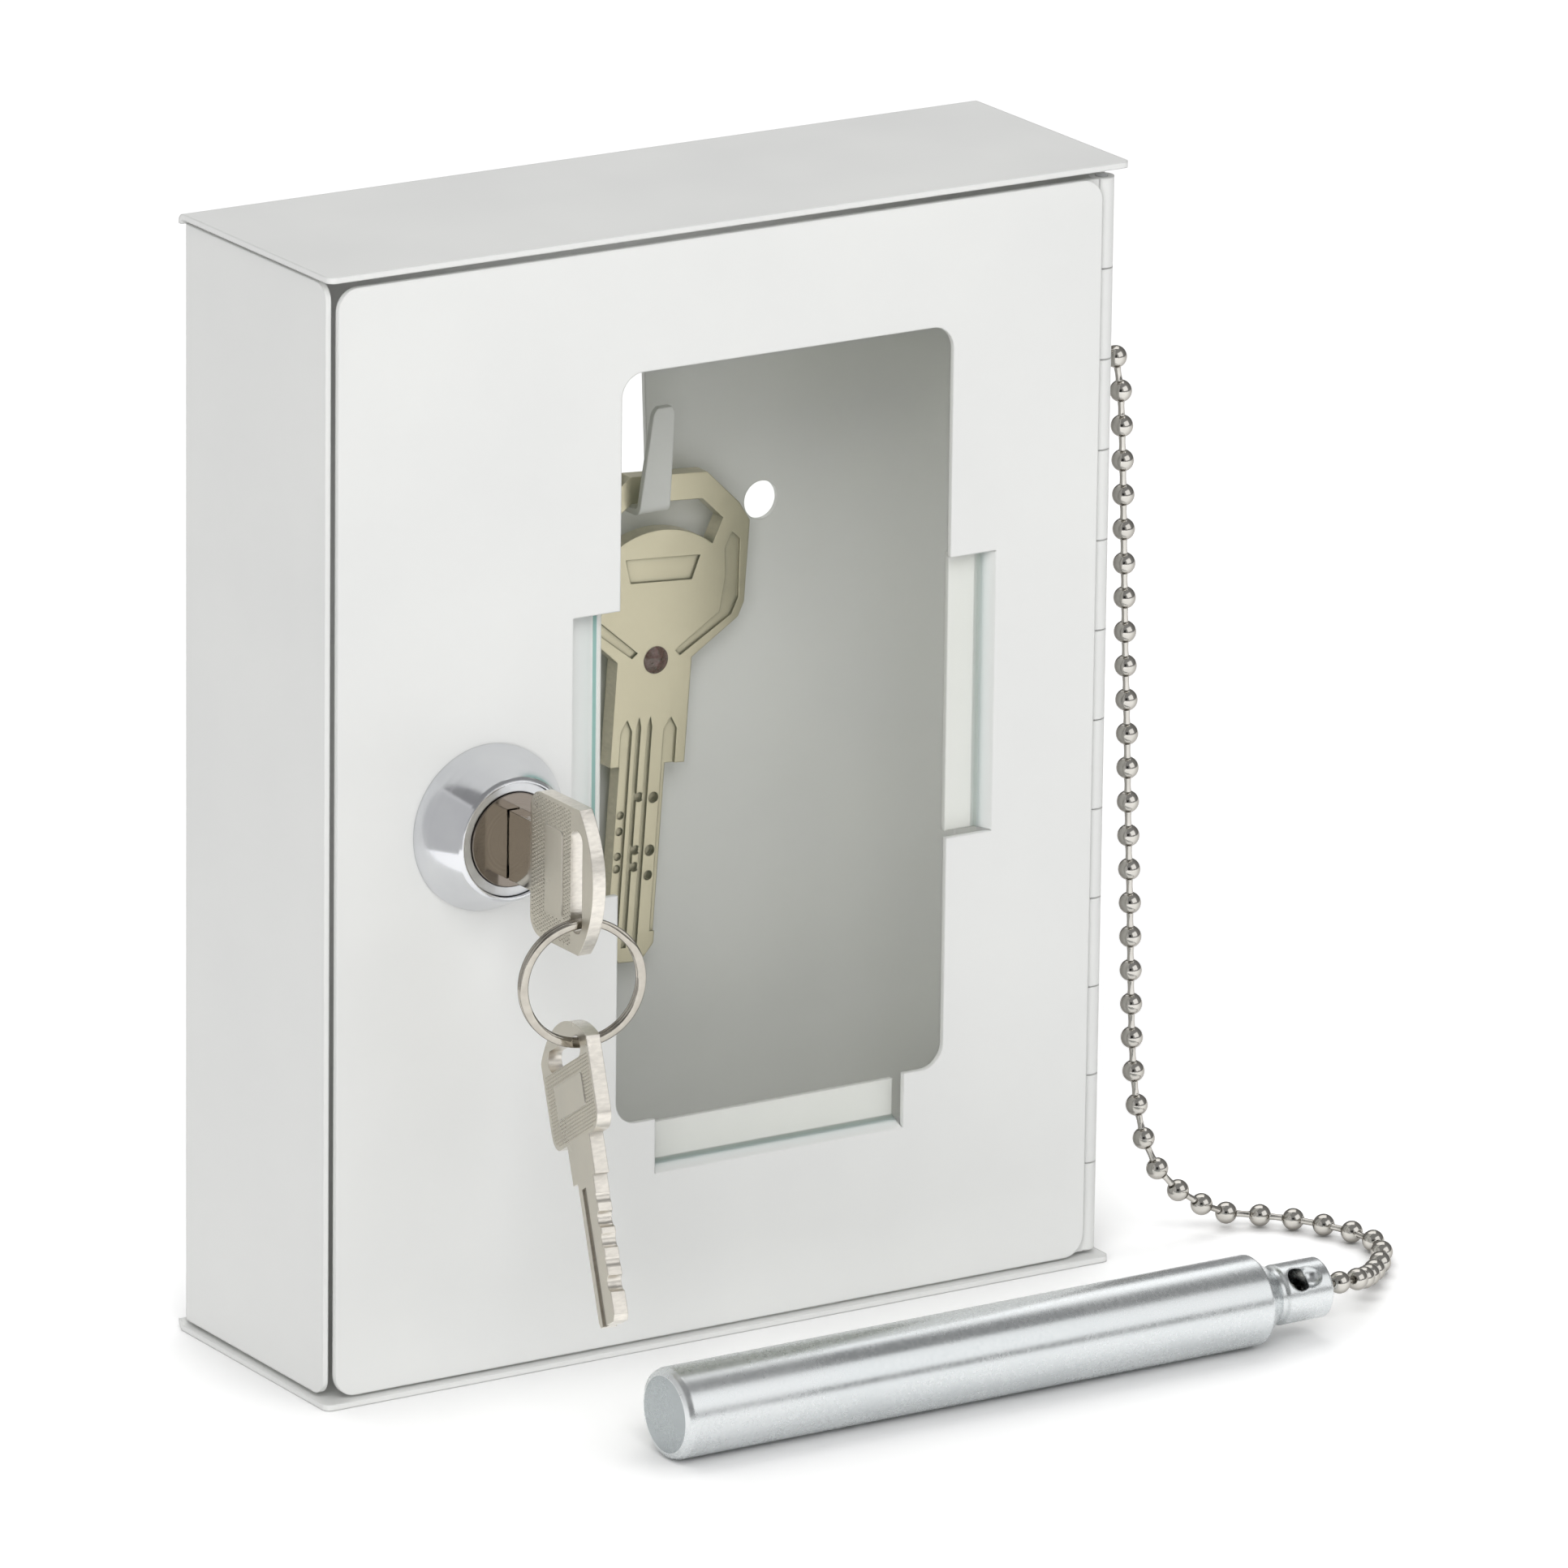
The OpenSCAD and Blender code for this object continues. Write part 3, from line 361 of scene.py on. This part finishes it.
def plated_metal(name, dark, light, roughness, scale=600.0, rim=None):
    """Plated metal: its tone and gloss vary with fine noise, its edges are rubbed a little
    brighter, and with a rim colour a painted reflection of a dark studio darkens it where the
    surface turns away."""
    made, tree, shader = new_material(name, Metallic=1.0)
    edge = use_group(tree, "edge", Radius=0.0002)
    grain = pattern(tree, "noise", Scale=scale, Detail=4.0)
    cloud = pattern(tree, "noise", Scale=120.0, Detail=3.0)
    half = calculated(tree, "MULTIPLY", calculated(tree, "ADD", grain, cloud), 0.5)
    metal = mixed_color(tree, calculated(tree, "MAXIMUM", half, edge["Edge"]), dark, light)
    if rim:
        # Painted reflection: the colour darkens towards the rim colour where the surface turns
        # away, for the dark studio that it mirrors.
        away = add_node(tree, "ShaderNodeLayerWeight", {"Blend": 0.5}).outputs["Facing"]
        metal = mixed_color(tree, ranged(tree, away, 0.0, 1.0, 0.2, 0.75), metal, rim)
    toned(tree, shader, metal, ranged(tree, half, *roughness))
    bumped(tree, shader, grain, 0.000004, edge["Normal"], 0.5)
    return made


def across_thickness(tree, axis):
    """A mask that is 1 on cut edges: where the surface's own normal lies across an axis."""
    normal = add_node(tree, "ShaderNodeNewGeometry").outputs["True Normal"]
    lean = calculated(tree, "ABSOLUTE", axis_part(tree, normal, axis))
    return calculated(tree, "LESS_THAN", lean, 0.5)


def key_blank(name, axis, face, cut, roughness, hollow_shade=0.7, neck=None):
    """Key metal: satin faces with a fine cloud, stamped edges, told by a normal square to the
    blank's thickness axis, that are brighter and ridged across the thickness, and painted shade
    that darkens the hollows.
    With a neck the roughness falls to 0.3 of itself between the two given places along Y."""
    made, tree, shader = new_material(name, Metallic=1.0)
    rounded = use_group(tree, "edge", Radius=0.00018)
    stamped = across_thickness(tree, axis)
    cloud = pattern(tree, "noise", Scale=170.0, Detail=4.0)
    stretch = tuple(0.35 if letter == axis else 1.0 for letter in "XYZ")
    ridges = pattern(tree, "noise", Stretch=stretch, Scale=2400.0, Detail=3.0)
    satin = mixed_color(tree, cloud, tuple(0.9 * c for c in face), face)
    bright = mixed_color(tree, ridges, tuple(0.84 * c for c in cut), cut)
    # Painted shade: ambient occlusion darkens the key's colour in its hollows, grooves and dimples,
    # where shade falls.
    open_air = add_node(
        tree, "ShaderNodeAmbientOcclusion", {"Distance": 0.0014}, samples=8, only_local=True,
    )
    dull = ranged(tree, open_air.outputs["AO"], hollow_shade, 1.0, 0.45, 0.95)
    shaded = on_vectors(tree, "SCALE", mixed_color(tree, stamped, satin, bright))
    feed(tree, shaded, {"Scale": dull})
    gloss = ranged(tree, cloud, *roughness)
    if neck:
        rubbed = ranged(tree, axis_part(tree, object_place(tree), "Y"), 1.0, 0.3, *neck)
        gloss = calculated(tree, "MULTIPLY", gloss, rubbed)
    toned(tree, shader, shaded.outputs["Vector"], gloss)
    ridged = calculated(tree, "MULTIPLY", ridges, stamped)
    bumped(tree, shader, ridged, 0.00003, rounded["Normal"], 0.5)
    return made


def turned_metal(name, centre, dark, light, roughness, scale, radius, relief, clouded=False):
    """Polished metal with faint turned lines about the lock's axis: its tone follows the lines, or
    soft clouds where it is clouded."""
    made, tree, shader = new_material(name, Metallic=1.0)
    edge = use_group(tree, "edge", Radius=radius)
    lines = pattern(tree, "turned", Centre=centre, Scale=scale)
    tone = pattern(tree, "noise", Scale=150.0, Detail=3.0) if clouded else lines
    toned(tree, shader, mixed_color(tree, tone, dark, light), ranged(tree, lines, *roughness))
    bumped(tree, shader, lines, relief, edge["Normal"], 0.3)
    return made


def bezel_chrome(centre):
    """Polished chrome of the lock's bezel."""
    return turned_metal(
        "bezel chrome", centre, (0.70, 0.71, 0.74), (0.76, 0.77, 0.79), (0.07, 0.16),
        scale=2500.0, radius=0.0003, relief=0.000002, clouded=True,
    )


def plug_nickel(centre):
    """Nickel of the face that the key enters, painted dark for the dark reflections that it shows.
    """
    return turned_metal(
        # Painted reflection: the plug's dark colours stand in for the dark studio that its bright
        # face mirrors.
        "plug nickel", centre, (0.22, 0.19, 0.165), (0.26, 0.23, 0.20), (0.06, 0.14),
        scale=3500.0, radius=0.00025, relief=0.000001,
    )


def striker_zinc():
    """Bright zinc on turned steel: small crystals, fine lines round the rod, duller runs and a dull
    sawn end, told by its normal along -X."""
    made, tree, shader = new_material("striker zinc", Metallic=1.0)
    edge = use_group(tree, "edge", Radius=0.0004)
    crystals = pattern(tree, "spangle", Scale=2400.0)
    lines = pattern(tree, "noise", Stretch=(30, 1, 1), Scale=80.0, Detail=4.0)
    runs = pattern(tree, "noise", Stretch=(0.35, 1, 1), Scale=140.0, Detail=3.0)
    half = calculated(tree, "MULTIPLY", calculated(tree, "ADD", crystals, runs), 0.5)
    normal = add_node(tree, "ShaderNodeNewGeometry").outputs["True Normal"]
    sawn = calculated(tree, "LESS_THAN", axis_part(tree, normal, "X"), -0.97)
    coat = mixed_color(tree, half, (0.66, 0.69, 0.70), (0.79, 0.81, 0.815))
    color = mixed_color(tree, sawn, coat, (0.40, 0.43, 0.44))
    toned(tree, shader, color, ranged(tree, half, 0.20, 0.34))
    bumped(tree, shader, calculated(tree, "ADD", crystals, lines), 0.00001, edge["Normal"], 0.07)
    return made


def pane_glass(middle_y):
    """Float glass: nearly clear, faintly green faces whose reflection grows at a slant, and cut
    edges that are teal about the pane's middle plane and ground white along both rims."""
    made, tree, shader = new_material("pane glass", Roughness=0.03, IOR=1.52)
    cut = across_thickness(tree, "Y")
    off_middle = calculated(tree, "SUBTRACT", axis_part(tree, object_place(tree), "Y"), middle_y)
    rim = ranged(tree, calculated(tree, "ABSOLUTE", off_middle), 0.0, 1.0, 0.00038, 0.00052)
    ground = mixed_color(tree, rim, (0.26, 0.50, 0.46), (0.82, 0.86, 0.85))
    slant = add_node(tree, "ShaderNodeFresnel", {"IOR": 1.45}).outputs["Fac"]
    film = calculated(tree, "MULTIPLY", pattern(tree, "noise", Scale=90.0, Detail=4.0), 0.02)
    face = calculated(tree, "ADD", ranged(tree, slant, 0.03, 0.9), film)
    back = add_node(tree, "ShaderNodeNewGeometry").outputs["Backfacing"]
    front = calculated(tree, "SUBTRACT", 1.0, back)
    near_edge = calculated(tree, "MULTIPLY", calculated(tree, "MULTIPLY", cut, front), 0.9)
    far_edge = calculated(tree, "MULTIPLY", calculated(tree, "MULTIPLY", cut, back), 0.06)
    edges = calculated(tree, "ADD", near_edge, far_edge)
    faces = calculated(tree, "MULTIPLY", face, front)
    feed(tree, shader, {
        "Alpha": calculated(tree, "MAXIMUM", faces, edges),
        "Base Color": mixed_color(tree, cut, (0.64, 0.70, 0.46), ground),
    })
    return made


def dark_red_enamel():
    """Dark red enamel with a glossy coat and faint clouding."""
    made, tree, shader = new_material("dark red enamel", Coat_Weight=0.6, Coat_Roughness=0.08)
    cloud = pattern(tree, "noise", Scale=1500.0, Detail=3.0)
    color = mixed_color(tree, cloud, (0.050, 0.006, 0.012), (0.105, 0.014, 0.026))
    toned(tree, shader, color, ranged(tree, cloud, 0.2, 0.35))
    return made


def dress(material, *pieces):
    """Gives a material to CAD nodes, by name, or to new pieces."""
    for piece in pieces:
        mesh = (nodes[piece] if isinstance(piece, str) else piece).data
        mesh.materials.clear()
        mesh.materials.append(material)


# Stage, light and camera

CASE_MIDDLE = (0.0, 0.0, 0.07)


def put_at(made, place, right, up, back):
    """Places an object in the scene with its own axes along three directions."""
    bpy.context.scene.collection.objects.link(made)
    turn = Matrix([[*row] for row in np.stack([right, up, back], axis=1)]).to_4x4()
    made.matrix_world = Matrix.Translation(place) @ turn
    return made


def towards(place, target, above=(0.0, 0.0, 1.0)):
    """The right, upward and backward directions of something at a place that faces a target."""
    back = unit(np.array(place) - np.array(target))
    side = unit(np.cross(above, back))
    return side, np.cross(back, side), back


def camera():
    """The camera at the photograph's place, by azimuth from +Y to +X, elevation down and roll."""
    azimuth, elevation, roll = (math.radians(a) for a in (32.309, 16.872, 0.716))
    ahead = np.array([
        math.sin(azimuth) * math.cos(elevation),
        math.cos(azimuth) * math.cos(elevation),
        -math.sin(elevation),
    ])
    level = np.array([math.cos(azimuth), -math.sin(azimuth), 0.0])
    above = np.cross(level, ahead)
    right = math.cos(roll) * level + math.sin(roll) * above
    up = math.cos(roll) * above - math.sin(roll) * level
    data = bpy.data.cameras.new("camera")
    data.sensor_width = 36.0
    data.lens = 330.88
    data.clip_end = 20.0
    made = bpy.data.objects.new("camera", data)
    bpy.context.scene.camera = put_at(made, (-0.9422, -1.5217, 0.6130), right, up, -ahead)


def soft_light(name, place, size, power, mirrored=True):
    """A rectangular area light that faces the case, left out of reflections unless mirrored."""
    data = bpy.data.lights.new(name, "AREA")
    data.shape = "RECTANGLE"
    data.size, data.size_y = size
    data.energy = power
    made = put_at(bpy.data.objects.new(name, data), place, *towards(place, CASE_MIDDLE))
    made.visible_glossy = mirrored


def card(name, place, size, target=None, glow=0.0):
    """A flat dark card that faces a target, or the case, and shows only in reflections; with a glow
    it is a lit panel."""
    side, upward, _ = towards(place, target or CASE_MIDDLE, above=(0.0, 0.1, 1.0))
    corners = [
        tuple(np.array(place) + (x * size[0] * side + y * size[1] * upward) / 2)
        for x, y in ((-1, -1), (1, -1), (1, 1), (-1, 1))
    ]
    made = new_object(name, corners, [(0, 1, 2, 3)])
    made.data.materials.append(new_material(
        name + " paint", Roughness=0.9, Specular_IOR_Level=0.1, Base_Color=(0.03, 0.03, 0.03, 1),
        Emission_Color=(1, 1, 1, 1), Emission_Strength=glow,
    )[0])
    made.visible_camera = False
    made.visible_diffuse = False
    made.visible_shadow = False
    made.visible_transmission = False


def white_floor():
    """A white sheet that looks as bright as the paper under a product photograph: what the camera
    and the metal see of it is lifted above the paint's own colour, so that it is white round the
    object, and a painted contact shadow darkens it close to what stands on it."""
    floor = new_object("floor", [(-3, -3, 0), (3, -3, 0), (3, 3, 0), (-3, 3, 0)], [(0, 1, 2, 3)])
    floor.location.z = -0.00005
    made = bpy.data.materials.new("floor paint")
    made.use_nodes = True
    tree = made.node_tree
    tree.nodes.remove(tree.nodes["Principled BSDF"])
    ray = add_node(tree, "ShaderNodeLightPath").outputs
    seen = calculated(tree, "MAXIMUM", ray["Is Camera Ray"], ray["Is Glossy Ray"])
    paper = mixed_color(
        tree, pattern(tree, "noise", Scale=8.0, Detail=2.0), (0.90, 0.90, 0.90), (0.92, 0.92, 0.92),
    )
    # Painted contact shadow: ambient occlusion darkens the lifted colour close to what stands on
    # the floor.
    reach = {"Distance": 0.024}
    open_air = add_node(tree, "ShaderNodeAmbientOcclusion", reach, samples=8).outputs["AO"]
    lifted = mixed_color(tree, seen, paper, ranged(tree, open_air, 0.78, 1.42, 0.3, 0.95))
    paint = add_node(tree, "ShaderNodeBsdfDiffuse", {"Color": lifted}).outputs["BSDF"]
    feed(tree, tree.nodes["Material Output"], {"Surface": paint})
    floor.data.materials.append(made)


def studio():
    """The white floor, a dim room, soft boxes, and cards and panels that only the metal mirrors."""
    white_floor()
    room = bpy.data.worlds.new("room")
    room.use_nodes = True
    room.node_tree.nodes["Background"].inputs["Color"].default_value = (0.295, 0.295, 0.295, 1)
    bpy.context.scene.world = room
    bpy.context.scene.view_settings.view_transform = "Standard"
    soft_light("right front box", (0.7, -1.5, 1.0), (1.8, 1.4), 7.0)
    soft_light("top box", (0.3, 0.7, 1.4), (1.5, 1.3), 7.6)
    soft_light("high fill box", (-0.9, -1.5, 1.6), (1.4, 1.2), 18.6, mirrored=False)
    soft_light("left fill box", (-1.9, -1.5, 0.7), (1.4, 1.2), 14.6, mirrored=False)
    card("left panel", (-1.6, 0.05, 0.75), (1.6, 1.5), glow=0.62)
    card("low left panel", (-0.2, 0.03, 0.11), (0.5, 0.22), target=(0.0, 0.03, 0.11), glow=0.55)
    card("dark card", (-1.15, -1.85, 0.75), (1.0, 1.0))


# Pieces of the chain

def free_chain():
    """The two free runs, the ball between them and the balls at the striker's end."""
    hanging_line = smooth_line(HANGING_ROUTE)
    hanging = spaced_along(hanging_line, round(line_length(hanging_line) / BALL_PITCH))
    swivel = HANGING_ROUTE[-1]
    tail_low, tail_high = (np.array(corner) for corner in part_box("chain_tail"))
    middle = (tail_low + tail_high) / 2
    outer = np.array([tail_high[0] - BALL_R, middle[1], middle[2]])
    inner = np.array([tail_low[0] + BALL_R, middle[1], middle[2]])
    floor_line = smooth_line(np.concatenate([swivel[None], FLOOR_ROUTE, outer[None]]))
    floor = spaced_along(floor_line, round(line_length(floor_line) / BALL_PITCH))

    upper = chain_piece("hanging_balls", hanging)
    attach(upper, "case")
    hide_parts("hanging_chain", "chain_swivel")
    lower = chain_piece("floor_balls", floor, first=1, last=-1)
    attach(lower, "tether")
    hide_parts("floor_chain")
    end = chain_piece("end_balls", np.stack([outer, (outer * 1.05 + inner * 0.95) / 2, inner]))
    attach(end, "chain_end")
    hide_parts("chain_tail")
    return [upper, lower, end]


# Lock keys and their ring, in the solids' own measures

RING_TURN = math.radians(12)
SPARE_LEAN = math.radians(28)
WIRE_D = 1.4 * MM
NECK_L = 5.2 * MM
BOW_L = 15.2 * MM
BOW_W = 19.2 * MM
BOW_R = 15 * MM
BOW_CORNER_R = 2.5 * MM
BOW_DROP = 1 * MM
SLOT_U = 16.4 * MM
SLOT_W = 2.8 * MM
PAD_U = (8.8 * MM, 13 * MM)
PAD_HALF = 5.7 * MM
KEY_HALF_T = 0.95 * MM
SPARE_HANG = (16.9 * MM, 3.8 * MM)


def split_ring():
    """Two turns of a flattened wire side by side along the ring's axis n:
    C + (R + p) e(a) + (s(a) + q) n, where (p, q) runs round a superellipse and s(a) is just over
    half the wire's thickness to either side, with one smooth crossing between the turns."""
    low, high = (np.array(corner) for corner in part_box("split_ring"))
    centre = (low + high) / 2
    axis = np.array([math.sin(RING_TURN), math.cos(RING_TURN), 0.0])
    across = np.array([axis[1], -axis[0], 0.0])
    mid_r = (high[2] - low[2] - WIRE_D) / 2
    turns = np.linspace(0.06, 1.94, 241)[:, None, None]
    crossing = np.clip((turns - 0.94) / 0.12, 0, 1)
    shift = WIRE_D * (0.245 * (2 * crossing ** 2 * (3 - 2 * crossing) - 1))
    bend = np.linspace(0, 2 * math.pi, 16, endpoint=False)[None, :, None]
    half_height = 0.42 * WIRE_D
    half_thickness = 0.235 * WIRE_D
    p = half_height * np.sign(np.cos(bend)) * np.abs(np.cos(bend)) ** 0.7
    q = half_thickness * np.sign(np.sin(bend)) * np.abs(np.sin(bend)) ** 0.7
    ends_angle = 0.9
    angle = 2 * math.pi * turns + ends_angle
    outward = np.cos(angle) * across + np.sin(angle) * np.array([0.0, 0.0, 1.0])
    made = piece_from_grids("ring_coils", [centre + (mid_r + p) * outward + (shift + q) * axis])
    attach(made, "ring")
    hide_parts("split_ring")
    return made


def grip_places():
    """Places (u, v) of the grip dots on a bow: a staggered grid inside its outline, clear of the
    pad and the slot, on the side of the slot towards the blade."""
    pitch = 0.52 * MM
    row_step = pitch * 0.87
    margin = 0.55 * MM
    rows = np.arange(NECK_L + margin, SLOT_U - SLOT_W / 2, row_step)
    places = []
    for row, u in enumerate(rows):
        for v in np.arange(-BOW_W / 2, BOW_W / 2, pitch) + (row % 2) * pitch / 2:
            in_round = math.hypot(u - (NECK_L + BOW_L - BOW_R), v) < BOW_R - margin
            in_sides = abs(v) < BOW_W / 2 - margin
            past_u = NECK_L + BOW_CORNER_R - u
            past_v = abs(v) - (BOW_W / 2 - BOW_CORNER_R)
            in_corner = min(past_u, past_v) > 0
            off_corner = in_corner and math.hypot(past_v, past_u) > BOW_CORNER_R - margin
            along_pad = PAD_U[0] - margin / 2 < u < PAD_U[1] + margin / 2
            on_pad = along_pad and abs(v) < PAD_HALF + margin / 2
            if in_round and in_sides and not on_pad and not off_corner:
                places.append((u, v - BOW_DROP))
    return np.array(places)


def grip_dots(name, body, place):
    """Low domes on both sides of a bow, h(r) falling from 0.06 mm at the middle to below the face
    at r = 0.22 mm; place is the matrix from (u, v, t) to the model."""
    dome = MM * np.array([(-0.03, 0.22), (0.02, 0.19), (0.05, 0.11), (0.06, 0.03)])
    spots = grip_places()
    turn = np.array(place.to_3x3())
    grids = []
    for side in (-1, 1):
        flat = np.concatenate([spots, np.full((len(spots), 1), side * KEY_HALF_T)], axis=1)
        centres = flat @ turn.T + np.array(place.translation)
        grids += turned_about(centres, np.tile(side * turn[:, 2], (len(spots), 1)), dome, columns=6)
    made = piece_from_grids(name, grids)
    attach(made, body)
    return made


def lock_keys_grips(lock_z):
    """Grip dots of the key in the lock, at the lock's height, and of the spare key."""
    low, high = (np.array(corner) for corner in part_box("lock_key"))
    lock_x = (low[0] + high[0]) / 2
    in_lock = Matrix([
        (0, 0, -1, lock_x), (-1, 0, 0, low[1] + NECK_L + BOW_L), (0, 1, 0, lock_z), (0, 0, 0, 1),
    ])
    ring_low, ring_high = (np.array(corner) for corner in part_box("split_ring"))
    ring_y = (ring_low[1] + ring_high[1]) / 2
    hanging_point = Matrix.Translation((lock_x, ring_y, ring_low[2] + WIRE_D / 2))
    leaned = Matrix.Rotation(-RING_TURN, 4, "Z") @ Matrix.Rotation(-SPARE_LEAN, 4, "X")
    upended = Matrix.Rotation(-math.pi / 2, 4, "Z") @ Matrix.Rotation(-math.pi / 2, 4, "Y")
    to_slot = Matrix.Translation((-SPARE_HANG[0], 0, -SPARE_HANG[1]))
    flipped = Matrix.Rotation(math.pi, 4, "X") @ to_slot
    drawn = Matrix([(1, 0, 0, 0), (0, 0, -1, 0), (0, 1, 0, 0), (0, 0, 0, 1)])
    on_ring = hanging_point @ leaned @ upended @ flipped @ drawn
    return [
        grip_dots("lock_key_grips", "lock_key", in_lock),
        grip_dots("spare_key_grips", "spare_key", on_ring),
    ]


camera()
studio()
chain = free_chain()

plug_low, plug_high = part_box("lock_plug")
pane_low, pane_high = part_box("glass_pane")
lock_centre = tuple((plug_low + plug_high) / 2)

ring = split_ring()
grips = lock_keys_grips(lock_centre[2])

white = powder_coat()
zinc = plated_metal("small parts zinc", (0.56, 0.57, 0.58), (0.70, 0.71, 0.72), (0.28, 0.42))
key_looks = ((0.60, 0.565, 0.485), (0.84, 0.80, 0.73), (0.26, 0.36))
nickel = key_blank("key nickel", "X", *key_looks)
neck_y = plug_low[1] - NECK_L
in_lock_nickel = key_blank(
    "lock key nickel", "X", *key_looks, neck=(neck_y - 0.5 * MM, neck_y + 0.5 * MM),
)
# Painted shade: the stored key's hollows, grooves and dimples are darkened more deeply than the
# other keys'.
nickel_silver = key_blank(
    "nickel silver", "Y", (0.60, 0.55, 0.405), (0.72, 0.66, 0.51), (0.28, 0.38), hollow_shade=0.4,
)
# Painted reflection: the chain's rim colour darkens its nickel where the balls turn away.
chain_nickel = plated_metal(
    "chain nickel", (0.56, 0.54, 0.50), (0.68, 0.66, 0.62), (0.06, 0.13), scale=900.0,
    rim=(0.24, 0.22, 0.19),
)
# Painted reflection: the ring's nickel is a darker copy of the chain's, with a darker rim still,
# for the dark studio that it mirrors.
ring_nickel = plated_metal(
    "ring nickel", (0.42, 0.39, 0.34), (0.58, 0.55, 0.49), (0.05, 0.10), scale=900.0,
    rim=(0.10, 0.085, 0.07),
)
brass = plated_metal("wafer brass", (0.60, 0.45, 0.20), (0.80, 0.64, 0.34), (0.25, 0.40))

dress(white, "case_shell", "lock_keeper", "case_hinge_leaf", "door_panel", "door_hinge_leaf")
dress(
    zinc, "hinge_pin", "lock_barrel", "lock_washer", "lock_nut", "lock_cam", "cam_washer",
    "cam_screw",
)
dress(bezel_chrome(lock_centre), "lock_bezel")
dress(plug_nickel(lock_centre), "lock_plug")
dress(brass, "lock_wafers")
dress(in_lock_nickel, "lock_key", grips[0])
dress(nickel, "spare_key", grips[1])
dress(ring_nickel, "split_ring", ring)
dress(nickel_silver, "stored_key")
dress(dark_red_enamel(), "stored_key_rivet")
dress(
    chain_nickel, "chain_anchor", "chain_swivel", "chain_tail", "hanging_chain", "floor_chain",
    *chain,
)
dress(pane_glass((pane_low[1] + pane_high[1]) / 2), "glass_pane")
dress(striker_zinc(), "striker")
